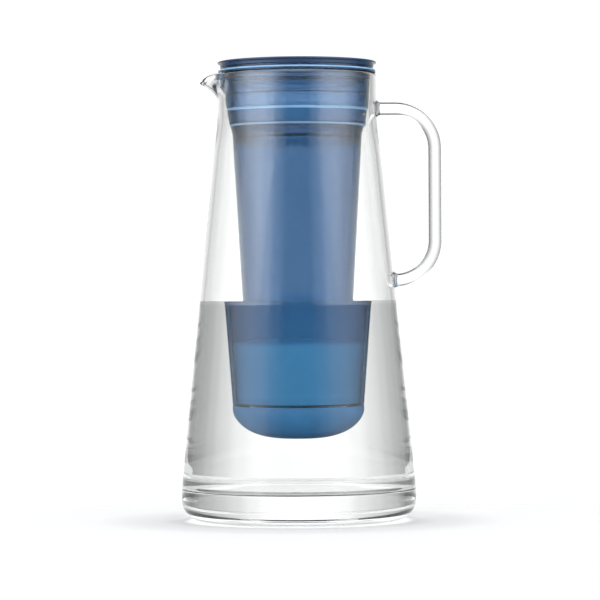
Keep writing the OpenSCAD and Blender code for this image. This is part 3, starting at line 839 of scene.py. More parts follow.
def mesh_object(name: str, shells: Sequence[Shell], smooth_below: float = 40.0) -> Object:
    """Makes an object from shells, with its place in its mesh.

    Args:
        name: name of the object.
        shells: closed surfaces in millimetres.
        smooth_below: faces that meet at less than this many degrees share their shading.

    Returns:
        The object, linked to the scene.
    """
    faces: list[list[int]] = []
    first = 0
    for shell in shells:
        faces += (shell.quads + first).tolist() + (shell.triangles + first).tolist()
        first += len(shell.points)
    mesh = bpy.data.meshes.new(name)
    mesh.from_pydata((np.vstack([s.points for s in shells]) * MM).tolist(), [], faces)
    mesh.polygons.foreach_set("use_smooth", np.ones(len(mesh.polygons), bool))
    mesh.set_sharp_from_angle(angle=math.radians(smooth_below))
    mesh.update()
    made = bpy.data.objects.new(name, mesh)
    bpy.context.scene.collection.objects.link(made)
    return made


def finish_piece(piece: Object, finish: Finish, body: Body, stands_for: Sequence[str]) -> Object:
    """Dresses a piece and ties it to the frame.

    Args:
        piece: object to dress.
        finish: its finish.
        body: body that it rides on.
        stands_for: CAD nodes that it replaces.

    Returns:
        The same object.
    """
    piece.data.materials.clear()
    piece.data.materials.append(material_of(finish))
    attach(piece, body.value)
    if stands_for:
        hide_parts(*stands_for)
    log.info("%s: %d faces, on %s", piece.name, len(piece.data.polygons), body.value)
    return piece


def second_finish(piece: Object, finish: Finish, rows: Array, columns: int) -> None:
    """Gives chosen rows of a grid's faces another finish.

    Args:
        piece: object whose first faces are the grid's.
        finish: the other finish.
        rows: whether each row of faces takes it.
        columns: number of faces in a row.
    """
    piece.data.materials.append(material_of(finish))
    marks = np.zeros(len(piece.data.polygons), int)
    marks[: len(rows) * columns] = np.repeat(rows.astype(int), columns)
    piece.data.polygons.foreach_set("material_index", marks)


def joined(keep: Object, tool: Object, operation: str) -> Object:
    """Joins or cuts one closed mesh with another and keeps the result as plain mesh.

    Args:
        keep: object that stays.
        tool: object that is added or cut away, and then removed.
        operation: "UNION" or "DIFFERENCE".

    Returns:
        The kept object.
    """
    modifier = keep.modifiers.new(operation.lower(), "BOOLEAN")
    modifier.operation, modifier.object, modifier.solver = operation, tool, "EXACT"
    evaluated = keep.evaluated_get(bpy.context.evaluated_depsgraph_get())
    mesh = bpy.data.meshes.new_from_object(evaluated)
    keep.modifiers.clear()
    keep.data = mesh
    bpy.data.objects.remove(tool)
    return keep


def dress_nodes(finish: Finish, *names: str) -> None:
    """Gives CAD nodes that stay as they are the material of a finish.

    Args:
        finish: the finish.
        names: nodes of the frame.
    """
    for name in names:
        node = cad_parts[name]
        node.data.materials.clear()
        node.data.materials.append(material_of(finish))
        log.info("%s: packed node, dressed as %s", name, finish.slot.value)


def node_top(name: str) -> float:
    """Highest point of a CAD node, in millimetres."""
    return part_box(name)[1].z / MM


def node_foot(name: str) -> float:
    """Lowest point of a CAD node, in millimetres."""
    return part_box(name)[0].z / MM


def node_reach(name: str) -> float:
    """Farthest that a CAD node goes towards +Y, in millimetres, which is a turned part's radius."""
    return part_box(name)[1].y / MM


# ---- Glass jug ----


@dataclass
class GlassJug:
    """Blown jug with a drawn spout, and the bent rod handle that is seated on its wall."""

    height: float = field(default_factory=lambda: node_top("glass_jug"))
    base_r: float = field(default_factory=lambda: node_reach("glass_jug"))
    foot_round: float = 13.0
    ring_w: float = 10.1
    hollow_h: float = 1.2
    cone_start_z: float = 24.0
    cone_in: float = 0.5
    flare_h: float = 4.0
    neck_r: float = 46.75
    shoulder_out: float = 2.15
    shoulder_h: float = 24.0
    neck_len: float = 22.0
    wall: float = 2.7
    neck_wall: float = 3.4
    floor_t: float = 18.0
    floor_round: float = 3.0
    neck_step: float = 0.8
    spout_reach: float = 10.4
    spout_drop: float = 4.0
    spout_len: float = 16.0
    spout_half: float = math.radians(24)
    rod_r: float = 3.75
    grip_out: float = 11.9
    arm_drop: float = 20.7
    arm_gap: float = 101.0
    bend_r: float = 23.4
    weld_flare: float = 1.5
    weld_len: float = 3.5
    weld_gap: float = 0.03
    weld_run: float = 6.0

    def __post_init__(self) -> None:
        """Works out the heights and radii that the driving sizes give."""
        self.rim_round = self.neck_wall / 2
        self.neck_z = self.height - self.neck_len
        self.shoulder_z = self.neck_z - self.shoulder_h
        self.shoulder_r = self.neck_r + self.shoulder_out
        self.cone_start_r = self.base_r - self.cone_in
        self.neck_in_r = self.neck_r - self.neck_wall
        self.grip_x = self.base_r + self.grip_out
        self.upper_z = self.height - self.arm_drop
        self.lower_z = self.upper_z - self.arm_gap
        self.spout_z = self.height - self.spout_len
        self.rim_z = self.height - self.rim_round

    def cone_r(self, z: float) -> float:
        """Outer radius of the straight cone at a height."""
        share = (z - self.cone_start_z) / (self.shoulder_z - self.cone_start_z)
        return self.cone_start_r + (self.shoulder_r - self.cone_start_r) * share

    def outside(self) -> Array:
        """Outline from the hollow under the foot up to the rim.

        Returns:
            Points (radius, height).
        """
        ring_r = self.base_r - self.foot_round
        hollow_r = ring_r - self.ring_w
        r = hollow_r * np.linspace(0.04, 1, 14)
        hollow = np.column_stack([r, self.hollow_h * (1 - (r / hollow_r) ** 2)])
        base = arc((ring_r, self.foot_round), self.foot_round, -90, 0, 20)
        flare_z = self.cone_start_z - self.flare_h
        flare = cubic(
            (self.base_r, self.foot_round), (self.base_r, self.foot_round + self.flare_h),
            (self.cone_r(flare_z), flare_z), (self.cone_start_r, self.cone_start_z), 6,
        )[1:]
        third = self.shoulder_h / 3
        bend_z = self.shoulder_z + third
        shoulder = cubic(
            (self.shoulder_r, self.shoulder_z), (self.cone_r(bend_z), bend_z),
            (self.neck_r, self.neck_z - third), (self.neck_r, self.neck_z), 20,
        )
        neck = np.array([[self.neck_r, self.neck_z + self.neck_step], [self.neck_r, self.rim_z]])
        return np.vstack([hollow, base, flare, refined(shoulder, 1.4), refined(neck, self.neck_step)])

    def rim(self) -> Array:
        """Half circle over the top of the neck's wall."""
        return arc((self.neck_r - self.rim_round, self.rim_z), self.rim_round, 12, 168, 13)

    def inside(self, inset: float = 0.0) -> Array:
        """Outline from the rim down to the middle of the floor.

        Args:
            inset: distance that the outline is moved into the glass.

        Returns:
            Points (radius, height).
        """
        third = self.shoulder_h / 3
        top_r = self.cone_r(self.floor_t + self.floor_round) - self.wall
        centre = (top_r - self.floor_round, self.floor_t + self.floor_round)
        neck = np.array([[self.neck_in_r, self.rim_z], [self.neck_in_r, self.neck_z]])
        shoulder = cubic(
            (self.neck_in_r, self.neck_z), (self.neck_in_r, self.neck_z - third),
            (self.cone_r(self.shoulder_z + third) - self.wall, self.shoulder_z + third),
            (self.shoulder_r - self.wall, self.shoulder_z), 20,
        )
        floor = np.column_stack([centre[0] * np.linspace(0.97, 0.04, 12), np.full(12, self.floor_t)])
        corner = arc(centre, self.floor_round, 0, -90, 10)
        outline = np.vstack([refined(neck, self.neck_step), shoulder[1:], corner, floor])
        return outline + np.column_stack([np.full(len(outline), inset), -inset * (outline[:, 1] < centre[1])])

    def drawn(self, grid: Array, angles: Array) -> Array:
        """Draws the spout out of the neck.

        With share s = (1 + cos(pi a / half)) / 2 and t the height's share of the way from the
        spout's foot to the rim, a point moves out by reach * s * t^2.1, and the rim sinks by
        drop * s^2.7 with what lies under it in proportion.

        Args:
            grid: points of the turned jug.
            angles: direction of each column.

        Returns:
            The grid with its spout.
        """
        away = np.abs(from_spout(angles))
        share = np.where(away < self.spout_half, (1 + np.cos(math.pi * away / self.spout_half)) / 2, 0.0)
        sink = self.spout_drop * share**2.7
        z = grid[:, :, 2]
        rise = np.clip((z - self.spout_z) / (self.rim_z - self.spout_z), 0, 1)
        out = self.spout_reach * share * rise**2.1
        made = grid.copy()
        made[:, :, 0] += out * np.cos(angles)
        made[:, :, 1] += out * np.sin(angles)
        made[:, :, 2] -= sink * rise
        return made

    def vessel(self) -> Shell:
        """Jug without its handle, the turned outline with the spout drawn out of it."""
        outline = np.vstack([self.outside(), self.rim(), self.inside()])
        outline = refined(outline, 6.0)
        angles = turn_angles(232, [(SPOUT_ANGLE, math.radians(26), 2.2), (0.0, math.radians(8), 1.0)])
        grid = turned(outline[:, 0], outline[:, 1], angles)
        return closed_ends(self.drawn(grid, angles))

    def rod(self) -> Shell:
        """Bent rod: a circle carried along arm, bend, grip, bend and arm, flared at both welds.

        The flare at a distance d from the wall is flare * (1 - d / length)^3.

        Returns:
            The closed rod, whose ends follow the wall's outside.
        """
        bend_x = self.grip_x - self.bend_r
        start = np.array([self.neck_r + self.weld_gap, self.upper_z])
        stop = np.array([self.cone_r(self.lower_z) + self.weld_gap, self.lower_z])
        upper = arc((bend_x, self.upper_z - self.bend_r), self.bend_r, 90, 0, 30)
        lower = arc((bend_x, self.lower_z + self.bend_r), self.bend_r, 0, -90, 30)
        first = np.linspace(0, min(self.weld_run, bend_x - start[0] - 0.5), 14)
        last = np.linspace(max(bend_x - stop[0], 0.5), 0, 4)[1:]
        arms = start + np.outer(first, [1, 0]), stop + np.outer(last, [1, 0])
        line = refined(np.vstack([arms[0], upper, lower, arms[1]]), 2.5)
        path = np.column_stack([line[:, 0], np.zeros(len(line)), line[:, 1]])
        run = np.gradient(path, axis=0)
        run /= np.linalg.norm(run, axis=1, keepdims=True)
        side = np.array([0.0, 1.0, 0.0])
        upper_d = line[:, 0] - self.neck_r
        lower_d = line[:, 0] - self.cone_r(self.lower_z)
        wall_d = np.where(line[:, 1] > (self.upper_z + self.lower_z) / 2, upper_d, lower_d)
        flare = self.weld_flare * (1 - np.clip(wall_d / self.weld_len, 0, 1)) ** 3
        grid = carried(path, np.cross(run, side), side, self.rod_r + flare, 40)
        for end in (0, -1):
            y, z = grid[end, :, 1], grid[end, :, 2]
            wall_r = np.where(z > self.neck_z, self.neck_r, self.cone_r(z)) + self.weld_gap
            grid[end, :, 0] = np.sqrt(wall_r**2 - y**2)
        return closed_ends(grid)

    def build(self) -> None:
        """Builds the jug and the handle."""
        jug = mesh_object("jug_glass", [self.vessel()], 50)
        finish_piece(jug, GLASS, Body.JUG, ("glass_jug",))
        finish_piece(mesh_object("handle_rod", [self.rod()], 50), GLASS, Body.JUG, ("handle",))


# ---- Reservoir ----


@dataclass
class Reservoir:
    """Tinted reservoir: flange, three-banded collar, tube, socket and threaded spigot.

    The lower edge of each band, from the top band down, is a row of corners: how far each is
    set in from the collar, how far it is above the edge's own height, and its radius.
    """

    jug: GlassJug
    mouth_z: float = field(default_factory=lambda: node_top("reservoir_collar"))
    spigot_z: float = field(default_factory=lambda: node_foot("reservoir_tube"))
    flange_r: float = field(default_factory=lambda: node_reach("reservoir_collar"))
    flange_t: float = 0.9
    waist_h: float = 1.5
    waist_in: float = 1.1
    collar_gap: float = 0.45
    bore_in: float = 2.8
    seal_plug_h: float = 3.8
    band_heights: tuple[float, float, float] = (9.0, 8.9, 9.0)
    funnel_h: float = 6.0
    tube_inset: float = 4.8
    foot_r: float = 29.2
    tube_wall: float = 2.0
    spigot_len: float = 6.4
    spigot_in: float = 4.0
    spigot_wall: float = 1.6
    foot_t: float = 0.8
    skirt_h: float = 5.5
    skirt_gap: float = 0.1
    skirt_out: float = 0.2
    skirt_bore: float = 0.3
    sleeve_low: float = 0.5
    sleeve_gap: float = 0.16
    sleeve_t: float = 0.4
    highlight_h: float = 1.1
    flat_depth: float = 1.7
    flat_wall: float = 1.1
    pour_depth: float = 4.7
    pour_w: float = 12.0
    thread_lead: float = 8.0
    thread_starts: int = 3
    thread_up: float = 1.6
    thread_share: float = 0.8
    thread_height: float = 0.75
    thread_t: float = 1.0
    seat_in: float = 0.8
    band_edges: tuple[tuple[Corner, ...], ...] = (
        ((0.4, 0.3, 0.35), (0.9, 0.0, 0.2), (0.45, -0.6, 0.3)),
        ((1.1, 0.5, 0.6), (1.9, 0.0, 0.2), (1.7, -0.6, 0.3)),
        ((2.3, 0.5, 0.6), (3.3, 0.0, 0.4), (3.7, -0.8, 0.0)),
    )

    def __post_init__(self) -> None:
        """Works out the heights and radii that the driving sizes give."""
        self.collar_r = self.jug.neck_in_r - self.collar_gap
        self.tube_top_r = self.collar_r - self.tube_inset
        self.bore_r = self.collar_r - self.bore_in
        self.waist_r = self.flange_r - self.waist_in
        self.flange_top_z = self.mouth_z - self.waist_h
        self.flange_z = self.flange_top_z - self.flange_t
        self.seal_foot_z = self.jug.height - self.seal_plug_h
        self.upper_z = self.seal_foot_z - self.band_heights[0]
        self.middle_z = self.upper_z - self.band_heights[1]
        self.lower_z = self.middle_z - self.band_heights[2]
        self.tube_top_z = self.lower_z - self.funnel_h
        self.wall_foot_z = self.lower_z - 16
        self.seam_z = self.spigot_z + self.spigot_len
        self.spigot_r = self.foot_r - self.spigot_in
        self.spigot_in_r = self.spigot_r - self.spigot_wall
        self.pour_floor = self.collar_r - self.pour_depth
        self.pour_top_z = self.upper_z + self.band_heights[0] / 2

    def tube_r(self, z: float) -> float:
        """Outer radius of the tube at a height."""
        share = (z - self.seam_z) / (self.tube_top_z - self.seam_z)
        return self.foot_r + (self.tube_top_r - self.foot_r) * share

    def outside(self) -> Array:
        """Outline from the mouth over flange, bands, funnel and tube to the end of the spigot.

        Returns:
            Points (radius, height).
        """
        c, seat_r = self.collar_r, self.collar_r - self.seat_in
        edges = zip((self.upper_z, self.middle_z, self.lower_z), self.band_edges)
        collar = rounded(
            [
                (self.bore_r, self.mouth_z - 2, 0), (self.bore_r, self.mouth_z, 0.3),
                (self.waist_r, self.mouth_z, 0.4), (self.waist_r, self.flange_top_z + 0.2, 0.5),
                (self.flange_r, self.flange_top_z, 0.3), (self.flange_r, self.flange_z, 0.35),
                (seat_r, self.flange_z, 0.2), (seat_r, self.seal_foot_z, 0.1), (c, self.seal_foot_z, 0.4),
                *((c - inset, z + up, turn) for z, edge in edges for inset, up, turn in edge),
            ],
            closed=False,
        )
        half_z, bend_z = self.lower_z - self.funnel_h / 2, self.tube_top_z + self.funnel_h / 2
        funnel = cubic(
            tuple(collar[-1]), (c - 4, half_z),
            (self.tube_r(bend_z), bend_z), (self.tube_top_r, self.tube_top_z), 10,
        )[1:]
        foot = rounded(
            [
                (self.tube_top_r, self.tube_top_z, 0), (self.foot_r, self.seam_z, 0.35),
                (self.spigot_r, self.seam_z, 0.2), (self.spigot_r, self.spigot_z, 0.4),
                (self.spigot_in_r, self.spigot_z, 0.4), (self.spigot_in_r, self.seam_z, 0),
            ],
            closed=False,
        )[1:]
        return np.vstack([refined(collar, 0.7), funnel, refined(foot, 8.0)])

    def wall_t(self, z: Array) -> Array:
        """Wall thickness at each height: thick under the collar, thinner behind each band's edge."""
        low, mid, up = self.lower_z, self.middle_z, self.upper_z
        steps = (
            (self.wall_foot_z, 2.0), (low - 8, 2.4), (low - 5.5, 5.4), (low - 1, 5.8), (low + 0.6, 2.1),
            (low + 4, 2.3), (mid - 3, 2.3), (mid + 0.5, 1.7), (mid + 3, 2.0), (mid + 5, 1.7), (up, 1.8),
            (up + 1, 2.1), (up + 8, 2.8),
        )
        return np.interp(z, *zip(*steps))

    def inside(self) -> Array:
        """Outline from the spigot's bore up the inside of the wall to the mouth.

        Returns:
            Points (radius, height).
        """
        c = self.collar_r
        ledge_z = self.seam_z + self.foot_t
        below = np.array([[self.spigot_in_r, ledge_z], [self.tube_r(ledge_z) - self.tube_wall, ledge_z]])
        tube_z = np.linspace(self.seam_z + 3, self.wall_foot_z, 15)
        tube = np.column_stack([self.tube_r(tube_z) - self.tube_wall, tube_z])
        bands_z = np.linspace(self.wall_foot_z + 1, self.upper_z + 3, 70)
        below_z = self.tube_top_z - 6
        faces = (
            (below_z, self.tube_r(below_z)), (self.tube_top_z, self.tube_top_r),
            (self.lower_z - 0.5, c - 3.6), (self.lower_z + 0.3, c - 2.5),
            (self.middle_z, c - 1.2), (self.upper_z, c - 0.5), (self.seal_foot_z, c),
        )
        bands = np.interp(bands_z, *zip(*faces)) - self.wall_t(bands_z)
        bands = np.convolve(np.pad(bands, 3, mode="edge"), np.ones(7) / 7, mode="valid")
        mouth = np.array([[self.bore_r, self.upper_z + 6], [self.bore_r, self.mouth_z - 2.4]])
        collar = np.column_stack([np.minimum(bands, self.bore_r), bands_z])
        return np.vstack([below, tube, collar, refined(mouth, 1.0)])

    def painted_highlights(self, outer: Array, others: int) -> Array:
        """Which rows of faces take the painted highlight, a lighter opaque blue: the flange's edge and the
        small slopes under two bands.

        Args:
            outer: outer outline.
            others: number of rows that follow it.

        Returns:
            One mark for each row.
        """
        r, z = outer[:, 0], outer[:, 1]
        flange = (r > self.flange_r - 0.7) & (np.abs(z - self.flange_z - self.flange_t / 2) < self.flange_t)
        tops = ((self.middle_z, self.highlight_h), (self.lower_z, 0.6 * self.highlight_h))
        slopes = [(z > foot - 0.15) & (z < foot + high) & (r < self.collar_r - 0.95) for foot, high in tops]
        return np.concatenate([flange | slopes[0] | slopes[1], np.zeros(others, bool)])

    def flat_x(self, z: Array) -> Array:
        """Distance of the slanted flats on the spout's side from the axis, at each height.

        It is interpolated between the corners of the three flats, and far out elsewhere.

        Args:
            z: heights.

        Returns:
            Distances.
        """
        c, d, up, mid, low = self.collar_r, self.flat_depth, self.upper_z, self.middle_z, self.lower_z
        far, top = 2 * c, self.seal_foot_z - 2
        corners = (
            (low - 0.1, far), (low, c - 2.1 - d), (low + 2, c - 2.1 - d), (mid - 0.6, c - 1.6),
            (mid + 0.4, c - 1.2 - d), (up - 1, c - 0.3), (up + 0.3, c + 0.2 - d),
            (top, c + 0.2), (top + 0.1, far),
        )
        return np.interp(z, *zip(*corners), left=far, right=far)

    def shaped(self, outline: Array, angles: Array, outer: bool) -> Array:
        """Radius of each outline point in each direction, with flats and pouring channel.

        The flats hold x to flat_x(z), so r = flat_x / cos a. The channel holds the wall to
        floor / cos a over the angles where the channel's floor is less than half its width out.

        Args:
            outline: points (radius, height).
            angles: directions in radians.
            outer: whether this is the outer side of the wall.

        Returns:
            Radii by outline point and angle.
        """
        away = from_spout(angles)[None, :]
        cosine = np.maximum(np.cos(away), 1e-3)
        radii = np.repeat(outline[:, :1], len(angles), axis=1)
        z = outline[:, 1:]
        wall, softness = (0.0, 0.12) if outer else (self.flat_wall, 0.2)
        radii = softly(radii, np.minimum(self.flat_x(z) / cosine - wall, 1e3), softness)
        grow = 0.0 if outer else self.tube_wall
        floor = self.pour_floor - grow
        reach = math.atan2(self.pour_w / 2 + grow, floor)
        inner_foot = self.tube_top_z - (4 if outer else 2)
        in_slot = (np.abs(away) < reach) & (z > inner_foot) & (z < self.pour_top_z + grow)
        return np.where(in_slot, np.minimum(radii, floor / cosine), radii)

    def thread(self) -> list[Shell]:
        """Raised thread on the spigot: one helical ridge for each start.

        A ridge is a ring of eight points (a rounded trapezium) carried along
        (r cos a, r sin a, foot + lead * a / 2 pi), and its height swells and fades as
        sin(pi t)^0.3 along the ridge.

        Returns:
            One shell for each start.
        """
        turn = 2 * math.pi / self.thread_starts * self.thread_share
        t = np.linspace(0, 1, 70)
        swell = np.sin(math.pi * np.clip(t, 0.002, 0.998)) ** 0.3
        out = np.array([-0.4, 0.4, 0.85, 1.0, 1.0, 0.85, 0.4, -0.4])
        up = np.array([-0.5, -0.5, -0.36, -0.22, 0.22, 0.36, 0.5, 0.5])
        r = self.spigot_r + self.thread_height * np.where(out > 0, out * swell[:, None], out)
        climb = self.thread_lead * (turn * t / (2 * math.pi))
        thick = self.thread_t * up * (0.3 + 0.7 * swell[:, None])
        z = self.spigot_z + self.thread_up + climb[:, None] + thick
        a = (turn * t)[:, None] * np.ones_like(out)
        ridge = closed_ends(np.stack([r * np.cos(a), r * np.sin(a), z], axis=2))
        return [ridge.moved(turn=2 * math.pi * i / self.thread_starts) for i in range(self.thread_starts)]

    def socket(self) -> list[Shell]:
        """Skirt that the cartridge's socket stands on, and the thin sleeve that lines the tube.

        Both stand on the tube's ledge and follow its wall. The sleeve is a cone of even
        thickness that ends below the rim of the cartridge.

        Returns:
            The skirt and the sleeve.
        """
        angles, t = turn_angles(RING_COLUMNS), self.sleeve_t
        foot_z = self.seam_z + self.foot_t + self.skirt_gap
        top_z = node_foot("socket_plate") + self.skirt_h
        rim_z = node_top("membrane_housing") - self.sleeve_low
        wall_r, rim_wall_r = (self.tube_r(z) - self.tube_wall for z in (foot_z, rim_z))
        bore_r, edge_r = self.spigot_in_r + self.skirt_bore, wall_r - self.skirt_gap
        low_r, rim_r = wall_r - self.sleeve_gap, rim_wall_r - self.sleeve_gap
        skirt = [
            (bore_r, foot_z, 0.2), (edge_r, foot_z, 0.2),
            (edge_r + self.skirt_out, top_z, 0.2), (bore_r, top_z, 0.2),
        ]
        sleeve = [
            (low_r - t, foot_z, 0.1), (low_r, foot_z, 0.1), (rim_r, rim_z, 0.15), (rim_r - t, rim_z, 0.15)
        ]
        return [lathe(corners, angles, 2.0) for corners in (skirt, sleeve)]

    def build(self) -> None:
        """Builds the reservoir as one moulding with its thread, and what stands round the socket."""
        angles = turn_angles(264, [(SPOUT_ANGLE, math.radians(11), 4.0)])
        outer, inner = self.outside(), self.inside()
        radii = np.vstack([self.shaped(outer, angles, True), self.shaped(inner, angles, False)])
        wall = closed_loop(turned(radii, np.concatenate([outer[:, 1], inner[:, 1]]), angles))
        piece = mesh_object("reservoir_wall", [wall, *self.thread()], 35)
        finish_piece(piece, TINTED, Body.RESERVOIR, ("reservoir_collar", "reservoir_tube"))
        # Painted highlights: lighter opaque rows where light draws bright lines on the edges.
        second_finish(piece, PAINTED_HIGHLIGHT_EDGE, self.painted_highlights(outer, len(inner)), len(angles))
        dress_nodes(CARTRIDGE, "socket_plate")
        finish_piece(mesh_object("socket_skirt", self.socket()), CARTRIDGE, Body.RESERVOIR, ())


@dataclass
class NeckSeal:
    """Silicone ring between the flange and the glass, with a tongue over the spout."""

    jug: GlassJug
    reservoir: Reservoir
    seal_gap: float = 0.15
    lip: float = 0.3
    lip_h: float = 0.5
    lip_pitch: float = 1.8
    seat_grip: float = 0.02
    foot_gap: float = 0.05
    edge_out: float = 0.1
    lift_gap: float = 0.1
    tongue_half: float = math.radians(11)
    tongue_soft: float = math.radians(0.5)
    tongue_out: float = 0.1

    def build(self) -> None:
        """Builds the ring: two lips on the plug, and a plug that reaches the glass at the tongue."""
        plug_r = self.jug.neck_in_r - self.seal_gap
        root = plug_r - self.lip
        inner = self.reservoir.collar_r - self.reservoir.seat_in + self.seat_grip
        foot, rim = self.reservoir.seal_foot_z + self.foot_gap, self.jug.height + self.lift_gap
        top, edge = self.reservoir.flange_z + self.seat_grip, self.reservoir.flange_r + self.edge_out
        corners = [
            (inner, top, 0.1), (inner, foot, 0.1), *two_lips(root, plug_r, foot, self.lip_h, self.lip_pitch),
            (root, rim, 0.15), (edge, rim, 0.3), (edge, top, 0.2),
        ]
        outline = rounded(corners)
        angles = turn_angles(220, [(SPOUT_ANGLE, math.radians(14), 2.0)])
        away = np.abs(from_spout(angles))[None, :]
        share = 1 / (1 + np.exp((away - self.tongue_half) / self.tongue_soft))
        plug_top = foot + self.lip_pitch + 2 * self.lip_h + 0.15
        plug = (outline[:, :1] > inner + 0.2) & (outline[:, 1:] < plug_top)
        tongue_r = self.jug.neck_r + self.tongue_out
        radii = outline[:, :1] + np.where(plug, (tongue_r - outline[:, :1]) * share, 0.0)
        piece = mesh_object("neck_ring", [closed_loop(turned(radii, outline[:, 1], angles))])
        finish_piece(piece, SILICONE, Body.RESERVOIR, ("neck_seal",))


# ---- Lid and flip door ----


@dataclass
class Lid:
    """Round lid with its plug skirt, door opening, hinge trough and finger dish."""

    top_z: float = field(default_factory=lambda: node_top("lid_cap"))
    skirt_z: float = field(default_factory=lambda: node_foot("lid_cap"))
    lip_r: float = field(default_factory=lambda: node_reach("lid_cap"))
    height: float = 3.3
    lip_t: float = 1.2
    waist_in: float = 1.5
    bead_h: float = 0.4
    bead_w: float = 1.5
    bead_foot_w: float = 2.1
    rim_w: float = 3.2
    edge_round: float = 0.35
    under_round: float = 0.25
    edge_room: float = 0.6
    plate_t: float = 2.4
    skirt_r: float = 39.7
    skirt_wall: float = 1.8
    groove_h: float = 2.1
    groove_up: float = 3.0
    groove_in: float = 1.0
    seal_lip: float = 0.4
    seal_grip: float = 0.01
    door_r: float = 33.0
    door_chord: float = 12.0
    door_gap: float = 0.4
    swing_gap: float = 0.8
    notch_soft: float = 0.12
    door_t: float = 1.6
    seal_t: float = 0.7
    seal_gap: float = 0.05
    ledge_w: float = 3.0
    ledge_t: float = 1.4
    ledge_rim_w: float = 4.6
    ledge_back: float = 1.0
    barrel_r: float = 1.7
    barrel_len: float = 25.6
    trough_gap: float = 0.5
    trough_wall: float = 1.3
    trough_front: float = 1.0
    trough_back: float = 1.4
    block_end: float = 1.0
    pin_r: float = 1.0
    pin_grip: float = 4.0
    pin_play: float = 0.05
    dish_r: float = 16.0
    dish_depth: float = 2.2
    dish_out: float = 3.0
    pad_r: float = 8.0
    pad_h: float = 2.0

    def __post_init__(self) -> None:
        """Works out the heights and radii that the driving sizes give."""
        self.lid_z = self.top_z - self.height
        self.plate_top_z = self.top_z - self.bead_h
        self.plate_z = self.plate_top_z - self.plate_t
        self.door_z = self.plate_top_z - self.door_t
        self.ledge_z = self.door_z - self.seal_t - self.seal_gap
        self.hole_r = self.door_r - self.ledge_w + self.door_gap
        self.hole_chord = self.door_chord - self.ledge_w + self.door_gap
        self.trough_r = self.barrel_r + self.trough_gap
        self.hinge_x = self.door_chord + self.trough_r + self.door_gap
        self.hinge_z = self.plate_top_z - self.barrel_r
        self.trough_half = self.barrel_len / 2 + self.door_gap
        self.dish_x = -(self.door_r + self.dish_out)
        self.angles = turn_angles(340, [(0.0, math.radians(75), 1.2), (SPOUT_ANGLE, math.radians(16), 1.2)])

    def opening(self) -> Array:
        """Distance to the edge of the door's opening: the larger of its D and the hinge's notch."""
        d = d_edge(self.angles, self.door_r + self.door_gap, self.door_chord + self.swing_gap)
        notch = box_edge(self.angles, self.hinge_x + self.trough_r + self.door_gap, self.trough_half, 0.3)
        return self.widened(d, notch)

    def widened(self, edge: Array, notch: Array) -> Array:
        """Larger of two edges, of which the second counts on the hinge's side only."""
        behind = np.where(np.cos(self.angles) > 0, notch, 0.0)
        return softly(edge, behind, self.notch_soft, largest=True)

    def dish(self, grid: Array, top: Array) -> Array:
        """Sinks the finger dish into rows of a grid.

        The dish is a ball of radius R whose lowest point is the depth under the plate, so its
        surface is z = plate + R - depth - sqrt(R^2 - d^2) at a distance d from its middle. The
        underside is held below the pad's foot where d is less than the pad's radius.

        Args:
            grid: points of the lid's ring.
            top: whether each row belongs to the upper side of the plate.

        Returns:
            The grid with its dish.
        """
        made = grid.copy()
        d2 = (made[:, :, 0] - self.dish_x) ** 2 + made[:, :, 1] ** 2
        ball = self.plate_top_z + self.dish_r - self.dish_depth - np.sqrt(np.maximum(self.dish_r**2 - d2, 0))
        z = made[:, :, 2]
        sunk = softly(z, ball, 0.08)
        under = np.where(d2 < self.pad_r**2, self.plate_z - self.pad_h, z)
        below = np.where(z < self.plate_z + 0.3, np.minimum(z, under), z)
        made[:, :, 2] = np.where(top[:, None], sunk, below)
        return made

    def ring(self) -> tuple[Shell, Array]:
        """Plate, lip and skirt, of which the outer part is round and the inner part follows the opening.

        Returns:
            The closed ring, and which of its rows of faces belong to the skirt.
        """
        skirt_in, plate_r = self.skirt_r - self.skirt_wall, self.lip_r - self.rim_w
        groove_r, groove_z = self.skirt_r - self.groove_in, self.skirt_z + self.groove_up
        waist, lip_z = self.lip_r - self.waist_in, self.top_z - self.lip_t
        outer = rounded(
            [
                (skirt_in, self.plate_z, 0), (skirt_in, self.skirt_z, 0.5), (self.skirt_r, self.skirt_z, 0.6),
                (self.skirt_r, groove_z, 0.15), (groove_r, groove_z, 0.1),
                (groove_r, groove_z + self.groove_h, 0.1), (self.skirt_r, groove_z + self.groove_h, 0.15),
                (self.skirt_r, self.lid_z, 0.15), (waist, self.lid_z, 0.3), (waist, lip_z, 0.8),
                (self.lip_r, lip_z, 0.42), (self.lip_r, self.top_z, 0.55),
                (self.lip_r - self.bead_w, self.top_z, 0.5),
                (self.lip_r - self.bead_foot_w, self.plate_top_z, 0.5), (plate_r, self.plate_top_z, 0),
            ],
            closed=False,
        )
        over, under = self.edge_round, self.under_round
        upper_edge = arc((over, self.plate_top_z - over), over, 90, 180, 4)
        edge = np.vstack([upper_edge, arc((under, self.plate_z + under), under, 180, 270, 3)])
        opening = self.opening()[None, :]
        shares = np.linspace(0, 1, 26)[1:-1, None]
        room_r = opening + self.edge_room
        top_r, low_r = plate_r + shares * (room_r - plate_r), room_r + shares * (skirt_in - room_r)
        outer_r = np.repeat(outer[:, :1], len(self.angles), axis=1)
        radii = np.vstack([outer_r, top_r, edge[:, :1] + opening, low_r])
        top_z, low_z = (np.full(len(shares), z) for z in (self.plate_top_z, self.plate_z))
        heights = np.concatenate([outer[:, 1], top_z, edge[:, 1], low_z])
        on_top = np.zeros(len(heights), bool)
        on_top[len(outer) : len(outer) + len(shares) + 3] = True
        skirt = np.zeros(len(heights), bool)
        skirt[: len(outer)] = (outer[:, 0] <= self.skirt_r + 0.01) & (outer[:, 1] <= self.plate_z)
        return closed_loop(self.dish(turned(radii, heights, self.angles), on_top)), skirt

